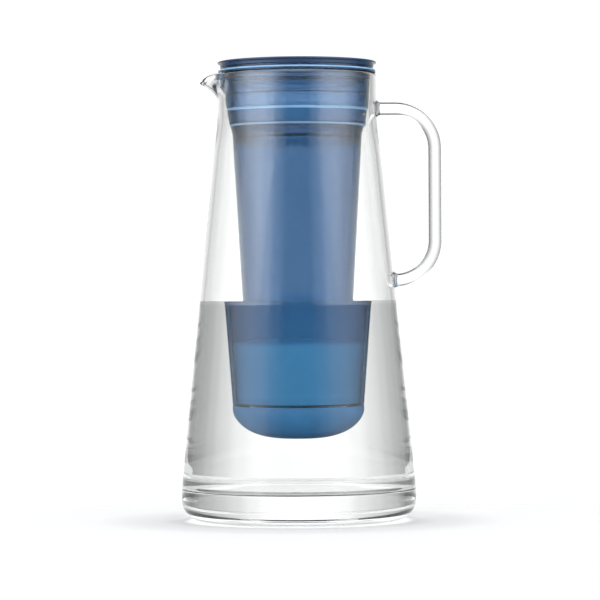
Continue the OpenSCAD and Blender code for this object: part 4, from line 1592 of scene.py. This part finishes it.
    def ledge(self) -> Shell:
        """Frame that the door closes on, cut off short of the hinge's trough."""
        hole = d_edge(self.angles, self.hole_r, self.hole_chord)
        chord = self.door_chord + self.swing_gap + self.ledge_back
        wide = d_edge(self.angles, self.hole_r + self.ledge_rim_w, chord)
        trough = (self.hinge_x - self.trough_r) / np.maximum(np.cos(self.angles), 0.05)
        near = (np.abs(np.tan(self.angles)) < self.trough_half / self.hinge_x) & (np.cos(self.angles) > 0)
        outer = np.where(near, np.minimum(wide, trough), wide)
        return band(self.angles, hole, outer, self.ledge_z - self.ledge_t, self.ledge_z, 0.2)

    def trough(self) -> Shell:
        """Half pipe under the hinge, closed at both ends by the blocks that hold the pin.

        Its section is a block with a half circle of the trough's radius cut into its top, and
        over the end blocks that half circle is filled up to the plate.

        Returns:
            The closed trough.
        """
        low_x = self.hinge_x - self.trough_r - self.trough_front
        high_x = self.hinge_x + self.trough_r + self.trough_back
        foot = self.hinge_z - self.trough_r - self.trough_wall
        half = self.trough_half + self.pin_grip + self.block_end
        pipe = arc((self.hinge_x, self.hinge_z), self.trough_r, 180, 360, 18)
        block = np.array(
            [[high_x, self.plate_z + 0.2], [high_x, foot], [low_x, foot], [low_x, self.ledge_z - 0.1]]
        )
        section = np.vstack([pipe, block])
        filled = section.copy()
        filled[: len(pipe), 1] = self.plate_z + 0.1
        places = [(-half, filled), (-self.trough_half - 0.02, filled), (-self.trough_half, section)]
        places += [(-y, s) for y, s in reversed(places)]
        return across_y(places)

    def build(self) -> None:
        """Builds the lid, the ring on its skirt and the hinge pin."""
        ring, skirt_rows = self.ring()
        cap = mesh_object("lid_shell", [ring, self.ledge(), self.trough()], 35)
        finish_piece(cap, LID_BLUE, Body.LID, ("lid_cap",))
        # The skirt's paler plastic is painted light for the collar in front of it.
        second_finish(cap, PAINTED_LIGHT_SKIRT, skirt_rows, len(self.angles))
        foot = self.skirt_z + self.groove_up + self.seal_gap
        inner = self.skirt_r - self.groove_in + self.seal_grip
        tip, lip = node_reach("lid_seal"), self.seal_lip
        lips = two_lips(tip - lip, tip, foot, lip, 3 * lip)
        corners = [(inner, foot, 0.05), *lips, (inner, lips[-1][1], 0.05)]
        seal = mesh_object("skirt_ring", [lathe(corners, turn_angles(RING_COLUMNS))])
        finish_piece(seal, SILICONE, Body.LID, ("lid_seal",))
        half, core = self.barrel_len / 2 + self.pin_grip, 0.05
        ends = [(core, -half, 0), (self.pin_r, -half, 0.3), (self.pin_r, half, 0.3), (core, half, 0)]
        outline = rounded(ends, closed=False)
        pin = mesh_object("pin_rod", [closed_ends(along_y(outline, self.hinge_x, self.hinge_z, 32))])
        finish_piece(pin, STEEL, Body.LID, ("hinge_pin",))


@dataclass
class FlipDoor:
    """Door with its hinge barrel, stiffening rim, thumb tab and silicone frame."""

    lid: Lid
    rim_h: float = 2.6
    rim_t: float = 1.5
    rim_gap: float = 0.5
    tab_w: float = 7.0
    tab_len: float = 2.4
    tab_root: float = 1.0
    tab_in: float = 0.5
    tab_t: float = 1.2
    seal_in: float = 0.8
    pin_room: float = 0.15
    cover_t: float = 0.55
    cover_sink: float = 0.02

    def __post_init__(self) -> None:
        """Works out the room round the pin and the two edges of the stiffening rim."""
        angles, rim_r = self.lid.angles, self.lid.hole_r - self.rim_gap
        rim_chord = self.lid.hole_chord - self.rim_gap
        self.clear = self.lid.pin_r + self.pin_room
        self.rim_outer = d_edge(angles, rim_r, rim_chord)
        self.rim_inner = d_edge(angles, rim_r - self.rim_t, rim_chord - self.rim_t)

    def plate(self) -> Shell:
        """D-shaped plate, with a tongue as wide as the barrel that ends short of the pin."""
        lid = self.lid
        tongue = box_edge(lid.angles, lid.hinge_x - self.clear, lid.barrel_len / 2, 0.3)
        plate_d = d_edge(lid.angles, lid.door_r, lid.door_chord, 0.4)
        return slab(lid.angles, lid.widened(plate_d, tongue), lid.door_z, lid.plate_top_z, 0.35, 4)

    def barrel(self) -> Shell:
        """Tube that turns on the hinge pin."""
        lid, half = self.lid, self.lid.barrel_len / 2
        outer, bore = lid.barrel_r, lid.pin_r + lid.pin_play
        sides = rounded([(outer, -half, 0.3), (outer, half, 0.3), (bore, half, 0.15), (bore, -half, 0.15)])
        return closed_loop(along_y(sides, lid.hinge_x, lid.hinge_z))

    def tab(self, angles: Array) -> Shell:
        """Thumb tab at the spout's side of the plate."""
        top, length = self.lid.plate_top_z, self.tab_len + self.tab_root
        edge = box_edge(angles, length / 2, self.tab_w / 2, 0.35)
        tab_x = -self.lid.door_r - self.tab_len + self.tab_in + length / 2
        return slab(angles, edge, top - self.tab_t, top, 0.4).moved(by=(tab_x, 0, 0))

    def cover(self, angles: Array) -> Shell:
        """Thin slab over the barrel that carries on the tongue above the pin."""
        top = self.lid.plate_top_z
        edge = box_edge(angles, self.clear, self.lid.barrel_len / 2 - 0.05, 0.2)
        made = slab(angles, edge, top - self.cover_t, top - self.cover_sink, 0.15)
        return made.moved(by=(self.lid.hinge_x - self.clear, 0, 0))

    def build(self) -> None:
        """Builds the door and its silicone frame."""
        lid, angles = self.lid, self.lid.angles
        small = turn_angles(64)
        rim = band(angles, self.rim_inner, self.rim_outer, lid.door_z - self.rim_h, lid.door_z + 0.3, 0.3)
        shells = [self.plate(), rim, self.barrel(), self.tab(small), self.cover(small)]
        finish_piece(mesh_object("door_leaf", shells, 35), LID_BLUE, Body.DOOR, ("flip_door",))
        wide = d_edge(angles, lid.door_r - self.seal_in, lid.door_chord - self.seal_in)
        frame_ring = band(angles, self.rim_outer + 0.02, wide, lid.door_z - lid.seal_t, lid.door_z, 0.2)
        finish_piece(mesh_object("door_ring", [frame_ring]), SILICONE, Body.DOOR, ("door_seal",))


# ---- Filter cup and cartridges ----


@dataclass
class FilterCup:
    """Bowl that screws on under the reservoir, with drain slots and ribs."""

    reservoir: Reservoir
    top_z: float = field(default_factory=lambda: node_top("filter_cup"))
    cup_foot_z: float = field(default_factory=lambda: node_foot("filter_cup"))
    inset: float = 0.1
    wall: float = 2.1
    step: float = 0.6
    bowl_h: float = 16.7
    deeper: float = 2.1
    drop: float = 2.4
    rib_h: float = 8.8
    rib_t: float = 1.4
    rib_len: float = 10.0
    rib_sink: float = 0.6
    ribs: int = 6
    rib_start: float = math.radians(15)
    drains: int = 12
    drain_w: float = 1.6
    drain_len: float = 9.0

    def __post_init__(self) -> None:
        """Works out the foot, the radius and the bore of the bowl."""
        self.foot_z = self.cup_foot_z - self.deeper
        self.cup_r = self.reservoir.foot_r - self.inset
        self.bore_r = self.cup_r - self.wall - self.step

    def bowl_r(self, z: Array, inset: float) -> Array:
        """Radius of the rounded bottom at a height: (r - inset) (1 - share^1.7)^(1/3).

        Args:
            z: heights.
            inset: distance that the wall is set in.

        Returns:
            Radii.
        """
        top = self.foot_z + self.bowl_h
        share = np.clip((top - z) / (self.bowl_h - inset), 0, 1)
        return (self.cup_r - inset) * np.cbrt(1 - share**1.7)

    def outline(self) -> Array:
        """Closed section of the bowl, from the middle of its underside out, up, in and down.

        Returns:
            Points (radius, height).
        """
        steps = np.linspace(0.03, 1, 34) ** 2.4
        low = self.foot_z + self.bowl_h * steps
        inner_foot, inner_top = self.foot_z + self.wall, self.foot_z + self.bowl_h - self.drop
        high = (inner_foot + (inner_top - inner_foot) * steps)[::-1]
        end_r = float(self.bowl_r(high[:1], self.wall)[0])
        rim = rounded(
            [
                (self.cup_r, low[-1], 0), (self.cup_r, self.top_z, 0.35), (self.bore_r, self.top_z, 0.3),
                (self.bore_r, inner_top + self.step, 0.2), (end_r, high[0], 0),
            ],
            closed=False,
        )
        outer = np.column_stack([self.bowl_r(low, 0.0), low])
        inner = np.column_stack([self.bowl_r(high, self.wall), high])
        return np.vstack([outer[:-1], rim, inner[1:]])

    def rib(self) -> Shell:
        """Upright plate whose foot follows the middle of the bowl's wall."""
        sunk = self.wall * self.rib_sink
        z = np.linspace(self.foot_z + sunk, self.foot_z + self.rib_h, 14)
        foot = np.column_stack([self.bowl_r(z, sunk), z])
        back_x = foot[-1, 0] - self.rib_len
        outline = np.maximum(np.vstack([foot, [[back_x, z[-1]], [back_x, z[0]]]]), [back_x, 0])
        return across_y([(-self.rib_t / 2, outline), (self.rib_t / 2, outline)])

    def build(self) -> None:
        """Builds the cup, cuts its drain slots and adds its ribs."""
        angles = turn_angles(180)
        section = self.outline()
        cup = mesh_object("cup_bowl", [closed_ends(turned(section[:, 0], section[:, 1], angles))])
        coarse = turn_angles(40)
        slot_edge = box_edge(coarse, self.drain_len / 2, self.drain_w / 2, 0.15)
        slot = slab(coarse, slot_edge, self.foot_z - 2, self.foot_z + self.wall + 3, 0.1, 1)
        slot = slot.moved(by=(self.drain_len, 0, 0))
        slots = [slot.moved(turn=2 * math.pi * i / self.drains) for i in range(self.drains)]
        joined(cup, mesh_object("drain_cutters", slots), "DIFFERENCE")
        cup.data.polygons.foreach_set("use_smooth", np.ones(len(cup.data.polygons), bool))
        cup.data.set_sharp_from_angle(angle=math.radians(40))
        finish_piece(cup, CUP_BLUE, Body.CUP, ("filter_cup",))
        turns = self.rib_start + 2 * math.pi * np.arange(self.ribs) / self.ribs
        ribs = mesh_object("cup_ribs", [self.rib().moved(turn=float(turn)) for turn in turns])
        finish_piece(ribs, CUP_BLUE, Body.CUP, ())
        high, low = node_top("cup_seal"), node_foot("cup_seal")
        outer, bore = node_reach("cup_seal"), self.bore_r
        corners = [(bore, low, 0.1), (outer, low, 0.1), (outer, high, 0.1), (bore, high, 0.1)]
        ring = lathe(corners, turn_angles(RING_COLUMNS))
        finish_piece(mesh_object("seam_ring", [ring]), SILICONE, Body.WASHER, ("cup_seal",))


class Cartridges:
    """Membrane and carbon cartridges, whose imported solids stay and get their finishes."""

    def build(self) -> None:
        """Dresses every node of the two cartridges."""
        dress_nodes(CARTRIDGE, "membrane_housing", "membrane_cap", "membrane_base")
        dress_nodes(CARTRIDGE, "carbon_case", "carbon_cover")
        dress_nodes(RESIN, "potting_disc")
        dress_nodes(FIBRE, "fibre_bundle")
        dress_nodes(SILICONE, "spigot_orings")
        dress_nodes(CARBON, "carbon_bed")
        dress_nodes(FELT, "felt_pads")


# ---- Stage ----


class WaterFace(Enum):
    """Faces of the water by what lies beyond them."""

    WALL = 0
    AIR = 1


@dataclass
class Water:
    """Water that stands in the jug and in the reservoir. It is part of the stage and not of the pitcher.

    Wet glass and wet plastic reflect far less than dry ones. The water's outline therefore
    reaches a little into both, and a film stands a little off both. Each of the two stops a
    ray that has been reflected within a hair's breadth of it, and lets all others through.
    A ray that glass or plastic would also turn back under water is so flat that it passes.
    """

    jug: GlassJug
    reservoir: Reservoir
    cup: FilterCup
    level: float = 129.0
    ior: float = 1.333
    overlap: float = 0.2
    film_gap: float = 0.1
    hair: float = 0.8
    creep: float = 0.3
    creep_len: float = 1.3
    edge_h: float = 1.0
    finest: float = 0.12
    sink: float = 0.5

    def around(self, offset: float) -> tuple[Array, Array]:
        """Outline from the middle of the jug's floor up the glass, over the surface and down the tube.

        The surface rises at both walls by creep * exp(-distance / length).

        Args:
            offset: distance that it reaches into the glass and the plastic.

        Returns:
            Points (radius, height), and which of them belong to the surface.
        """
        wall = refined(self.jug.inside(offset), 4.0)
        wall = wall[wall[:, 1] < self.level - self.edge_h][::-1]
        low = self.cup.foot_z + offset + (self.cup.bowl_h - offset) * np.linspace(0.0, 1, 26) ** 2
        bowl = np.column_stack([self.cup.bowl_r(low, offset), low])[::-1]
        tube_z = np.linspace(self.level - self.edge_h, self.reservoir.seam_z, 12)
        tube = np.column_stack([self.reservoir.tube_r(tube_z) - offset, tube_z])
        side = np.array([[self.cup.cup_r - offset, self.cup.top_z]])
        outer, inner = wall[-1, 0], tube[0, 0]
        away = np.concatenate([[0], np.geomspace(self.finest, (outer - inner) / 2, 14)])
        r = np.concatenate([outer - away, (inner + away)[::-1][1:]])
        lift = self.creep * (np.exp(-(outer - r) / self.creep_len) + np.exp(-(r - inner) / self.creep_len))
        surface = np.column_stack([r, self.level + lift - self.sink * offset])
        points = np.vstack([wall, surface, tube, side, bowl[:-1]])
        on_surface = np.zeros(len(points), bool)
        on_surface[len(wall) - 1 : len(wall) + len(surface)] = True
        return points, on_surface

    def within(self, offset: float) -> tuple[Array, Array]:
        """Outline from the spigot's end up the inside of the tube and over the surface to the axis.

        Args:
            offset: distance that it reaches into the plastic.

        Returns:
            Points (radius, height), and which of them belong to the surface.
        """
        wall = refined(self.reservoir.inside(), 4.0)
        wall = wall[wall[:, 1] < self.level - self.edge_h] + [offset, 0]
        foot_r = self.reservoir.spigot_in_r + offset
        foot = np.column_stack([foot_r * np.linspace(0.05, 1, 6), np.full(6, self.reservoir.spigot_z + 0.5)])
        away = np.concatenate([[0], np.geomspace(self.finest, 0.95 * wall[-1, 0], 22)])
        lift = self.creep * np.exp(-away / self.creep_len)
        surface = np.column_stack([wall[-1, 0] - away, self.level + lift - self.sink * offset])
        points = np.vstack([foot, wall, surface])
        on_surface = np.zeros(len(points), bool)
        on_surface[len(foot) + len(wall) - 1 :] = True
        return points, on_surface

    def stopping(self, name: str, solid_ior: float | None) -> Material:
        """Material that stops rays reflected close by and lets the others pass.

        A reflected ray that meets the surface at an angle t is let pass where
        1 - cos t > 1 - sqrt(1 - 1 / n^2), with n the solid's index, because it would be
        reflected under water too.

        Args:
            name: name of the material.
            solid_ior: index of the solid that the water reaches into, or none for the film.

        Returns:
            The material.
        """
        material, nodes = new_material(name)
        path = nodes.add("LightPath").outputs
        near = nodes.math("LESS_THAN", path["Ray Length"], self.hair * MM)
        tests = [path["Is Glossy Ray"], path["Is Reflection Ray"], near]
        if solid_ior:
            facing = nodes.add("LayerWeight", blend=0.5).outputs["Facing"]
            tests.append(nodes.math("LESS_THAN", facing, 1 - math.sqrt(1 - 1 / solid_ior**2)))
            shader = nodes.add("BsdfRefraction", color=WHITE, ior=self.ior, roughness=0.0)
        else:
            shader = nodes.add("BsdfTransparent", color=WHITE)
        black = nodes.add("BsdfDiffuse", color=BLACK)
        mix = nodes.add("MixShader", nodes.product(tests), shader.outputs[0], black.outputs[0])
        nodes.add("OutputMaterial", surface=mix.outputs[0])
        return material

    def surface(self, film: bool) -> Material:
        """Material of the open surface: plain water, or nothing for the film."""
        material, nodes = new_material("water_surface")
        if film:
            shader = nodes.add("BsdfTransparent", color=WHITE)
        else:
            shader = nodes.add("BsdfGlass", color=WHITE, ior=self.ior, roughness=0.0)
        nodes.add("OutputMaterial", surface=shader.outputs[0])
        return material

    def body(self, name: str, outline: tuple[Array, Array], solid_ior: float | None) -> None:
        """Makes one body of water, or its film, with its two materials, on none of the pitcher's bodies.

        Args:
            name: name of the object.
            outline: points, and which of them belong to the surface.
            solid_ior: index of the solid that it reaches into, or none for a film.
        """
        points, on_surface = outline
        angles = turn_angles(200)
        piece = mesh_object(name, [closed_ends(turned(points[:, 0], points[:, 1], angles))], 60)
        kinds = np.where(on_surface[:-1] & on_surface[1:], WaterFace.AIR.value, WaterFace.WALL.value)
        piece.data.materials.append(self.stopping(name, solid_ior))
        piece.data.materials.append(self.surface(film=solid_ior is None))
        marks = np.repeat([*kinds, kinds[0], kinds[-1]], len(angles))
        piece.data.polygons.foreach_set("material_index", marks)

    def build(self) -> None:
        """Builds the water round the tube and in it, and the film that stands off what each wets."""
        self.body("water", self.around(self.overlap), GLASS.ior)
        self.body("film", self.around(-self.film_gap), None)
        self.body("inner_water", self.within(self.overlap), TINTED.ior)
        self.body("inner_film", self.within(-self.film_gap), None)
        log.info("water up to %.0f mm, on the stage", self.level)


@dataclass
class Studio:
    """Pale floor, soft light from all round, and the camera.

    Clear glass shows what lies round it, so two dark fields draw its edges: a card on the floor
    behind the handle, and a wedge in the light from above behind the pitcher. Only rays that
    glass has bent or mirrored find them.
    """

    eye_distance: float = 1876.0
    eye_height: float = 129.0
    eye_x: float = 1.2
    lens: float = 191.0
    horizon_down: float = 1.4
    roll: float = math.radians(0.3)
    floor_r: float = 1500.0
    floor_back: float = 150.0
    floor_t: float = 0.2
    glow_reach: float = 110.0
    card_place: tuple[float, float, float] = (88.0, 125.0, 0.0)
    card_r: float = 110.0
    card_steep: float = 0.35
    card_colour: Colour = (0.03, 0.03, 0.03)
    floor_colour: Colour = (0.3, 0.303, 0.306)
    # Painted light and shade on the floor: more glow under the clear foot for its pool of light, and less
    # glow beside it for its shadow.
    floor_painted_glow: tuple[tuple[float, float], ...] = ((0, 0.8), (61, 0.8), (70, 0.18), (85, 0.23), (125, 0.34))
    sky_strength: float = 4.0
    top_strength: float = 2.5
    top_mirrored: float = 0.3
    top_from: float = 0.45
    top_full: float = 0.75
    gap_full: float = math.radians(35)
    gap_from: float = math.radians(15)
    lean: float = 0.15
    low_from: float = -0.65
    low_full: float = -0.45
    fill_from: float = 0.1
    fill_full: float = -0.6
    fill_strength: float = 3.8
    seen_strength: float = 1.05
    sky: tuple[tuple[float, float], ...] = (
        (0, 0.3), (8, 0.293), (15.5, 0.242), (21.5, 0.195), (30, 0.158), (36, 0.133), (44, 0.11), (49, 0.075),
        (56, 0.035), (67, 0.035), (78, 0.11), (90, 0.28), (106, 0.52), (126, 0.6), (140, 0.46), (153, 0.18),
        (166, 0.035), (180, 0.03),
    )

    def greys(
        self, nodes: NodeTree, source: Socket, widest: float, stops: Sequence[tuple[float, float]]
    ) -> Socket:
        """Adds a change of grey with soft steps.

        Args:
            nodes: tree to add to.
            source: what the grey depends on.
            widest: value of the source at the last stop.
            stops: (place, level) of each stop, from 0 to the widest place.

        Returns:
            The grey.
        """
        share = nodes.mapped(source, 0.0, widest)
        return nodes.ramp(share, [(place / stops[-1][0], (level,) * 3) for place, level in stops], ease=True)

    def bent(self, nodes: NodeTree, path: Mapping[str, Socket]) -> Socket:
        """Tests by a light path's outputs whether a surface has bent or mirrored the ray."""
        return nodes.math("MAXIMUM", path["Is Transmission Ray"], path["Is Glossy Ray"])

    def floor(self) -> None:
        """Lays a wide round floor, matt and pale.

        It glows a little, and the glow paints light and shade: a pool of light where the clear foot would
        gather it, and a painted shadow beside it.
        The glow runs between the values that are given for distances from the axis. The card is the part of
        the floor that is near its place.
        It is dark for bent rays that come down steeply from farther off than the foot of the glass.
        """
        angles = turn_angles(96)
        radii = np.geomspace(20, self.floor_r, 24)
        top = turned(radii, np.zeros(24), angles)
        low = turned(radii[::-1], np.full(24, -self.floor_t), angles)
        ground = closed_ends(np.concatenate([top, low])).moved(by=(0, self.floor_back - self.floor_r, 0))
        piece = mesh_object("floor", [ground])
        material, nodes = new_material("floor")
        where = nodes.add("TexCoord").outputs["Object"]
        away = nodes.add("VectorMath", where, operation="LENGTH").outputs["Value"]
        painted_glow = self.greys(nodes, away, self.floor_painted_glow[-1][0] * MM, self.floor_painted_glow)
        pale = nodes.add(
            "BsdfPrincipled", base_color=(*self.floor_colour, 1.0), roughness=0.9, specular_ior_level=0.1,
            emission_color=WHITE, emission_strength=painted_glow,
        )
        path = nodes.add("LightPath").outputs
        card = [v * MM for v in self.card_place]
        gap = nodes.add("VectorMath", where, card, operation="DISTANCE").outputs["Value"]
        facing = nodes.add("LayerWeight").outputs["Facing"]
        dim = nodes.product(
            [
                self.bent(nodes, path),
                nodes.math("GREATER_THAN", path["Ray Length"], self.glow_reach * MM),
                nodes.math("LESS_THAN", gap, self.card_r * MM),
                nodes.math("LESS_THAN", facing, self.card_steep),
            ]
        )
        dark = nodes.add("BsdfDiffuse", color=(*self.card_colour, 1.0))
        mix = nodes.add("MixShader", dim, pale.outputs["BSDF"], dark.outputs["BSDF"])
        nodes.add("OutputMaterial", surface=mix.outputs[0])
        piece.data.materials.append(material)

    def light(self) -> None:
        """Lights the scene from all round.

        The brightness follows the angle from straight behind the pitcher: white there, fading to
        dark at the sides, and a broad soft box to the left and to the right of the camera. It is
        a little less on the handle's side, and nothing for rays that run steeply down. A white
        field stands above, with the dark wedge in it. A fill from the camera's side lights what
        is matt and leaves no mirror image. Straight sight of the surroundings is plain white.
        """
        world = bpy.data.worlds.new("studio")
        bpy.context.scene.world = world
        world.use_nodes = True
        nodes = NodeTree(world.node_tree)
        parts = nodes.add("SeparateXYZ", nodes.add("TexCoord").outputs["Generated"]).outputs
        path = nodes.add("LightPath").outputs
        turn = nodes.math("ABSOLUTE", nodes.math("ARCTAN2", parts["X"], parts["Y"]))
        ends = self.sky_strength, self.sky_strength * (1 - self.lean)
        lean = nodes.mapped(parts["X"], 0.0, 1.0, *ends, clamp=False)
        power = nodes.math("MULTIPLY", lean, nodes.eased(parts["Z"], self.low_from, self.low_full))
        around = nodes.add("Background", self.greys(nodes, turn, math.pi, self.sky), power)
        front = nodes.mapped(parts["Y"], self.fill_from, self.fill_full, 0.0, self.fill_strength)
        matt = nodes.math("MINIMUM", path["Diffuse Depth"], 1.0)
        fill = nodes.add("Background", WHITE, nodes.math("MULTIPLY", front, matt))
        filled = nodes.add("AddShader", around.outputs[0], fill.outputs[0])
        wedge = nodes.eased(turn, self.gap_full, self.gap_from)
        dim = nodes.math("MULTIPLY", self.bent(nodes, path), wedge)
        overhead = nodes.mapped(dim, 0.0, 1.0, self.top_strength, self.top_mirrored)
        above = nodes.add("Background", WHITE, overhead)
        height = nodes.eased(parts["Z"], self.top_from, self.top_full)
        both = nodes.add("MixShader", height, filled.outputs[0], above.outputs[0])
        seen = nodes.add("Background", WHITE, self.seen_strength)
        mix = nodes.add("MixShader", path["Is Camera Ray"], both.outputs[0], seen.outputs[0])
        nodes.add("OutputWorld", surface=mix.outputs[0])

    def camera(self) -> None:
        """Places the camera level with the water, looking along +Y."""
        data = bpy.data.cameras.new("camera")
        data.lens, data.sensor_width = self.lens, 36.0
        data.shift_y = self.horizon_down / IMAGE_PIXELS
        data.clip_end = 100.0
        camera = bpy.data.objects.new("camera", data)
        camera.location = (self.eye_x * MM, -self.eye_distance * MM, self.eye_height * MM)
        camera.rotation_euler = (math.pi / 2, self.roll, 0.0)
        bpy.context.scene.collection.objects.link(camera)
        bpy.context.scene.camera = camera

    def build(self) -> None:
        """Builds the floor, the light and the camera, and sets how light is followed."""
        self.floor()
        self.light()
        self.camera()
        scene = bpy.context.scene
        scene.view_settings.view_transform = "Standard"
        scene.cycles.max_bounces = 32
        scene.cycles.transmission_bounces = 32
        scene.cycles.transparent_max_bounces = 64
        scene.cycles.blur_glossy = 0.0


def main() -> None:
    """Builds the pitcher from the outside in, then its stage."""
    logging.basicConfig(level=logging.INFO, format="%(name)s: %(message)s")
    jug = GlassJug()
    reservoir = Reservoir(jug)
    lid = Lid()
    cup = FilterCup(reservoir)
    parts = [jug, reservoir, NeckSeal(jug, reservoir), lid, FlipDoor(lid), cup, Cartridges()]
    for part in [*parts, Water(jug, reservoir, cup), Studio()]:
        part.build()


if __name__ == "__main__":
    main()
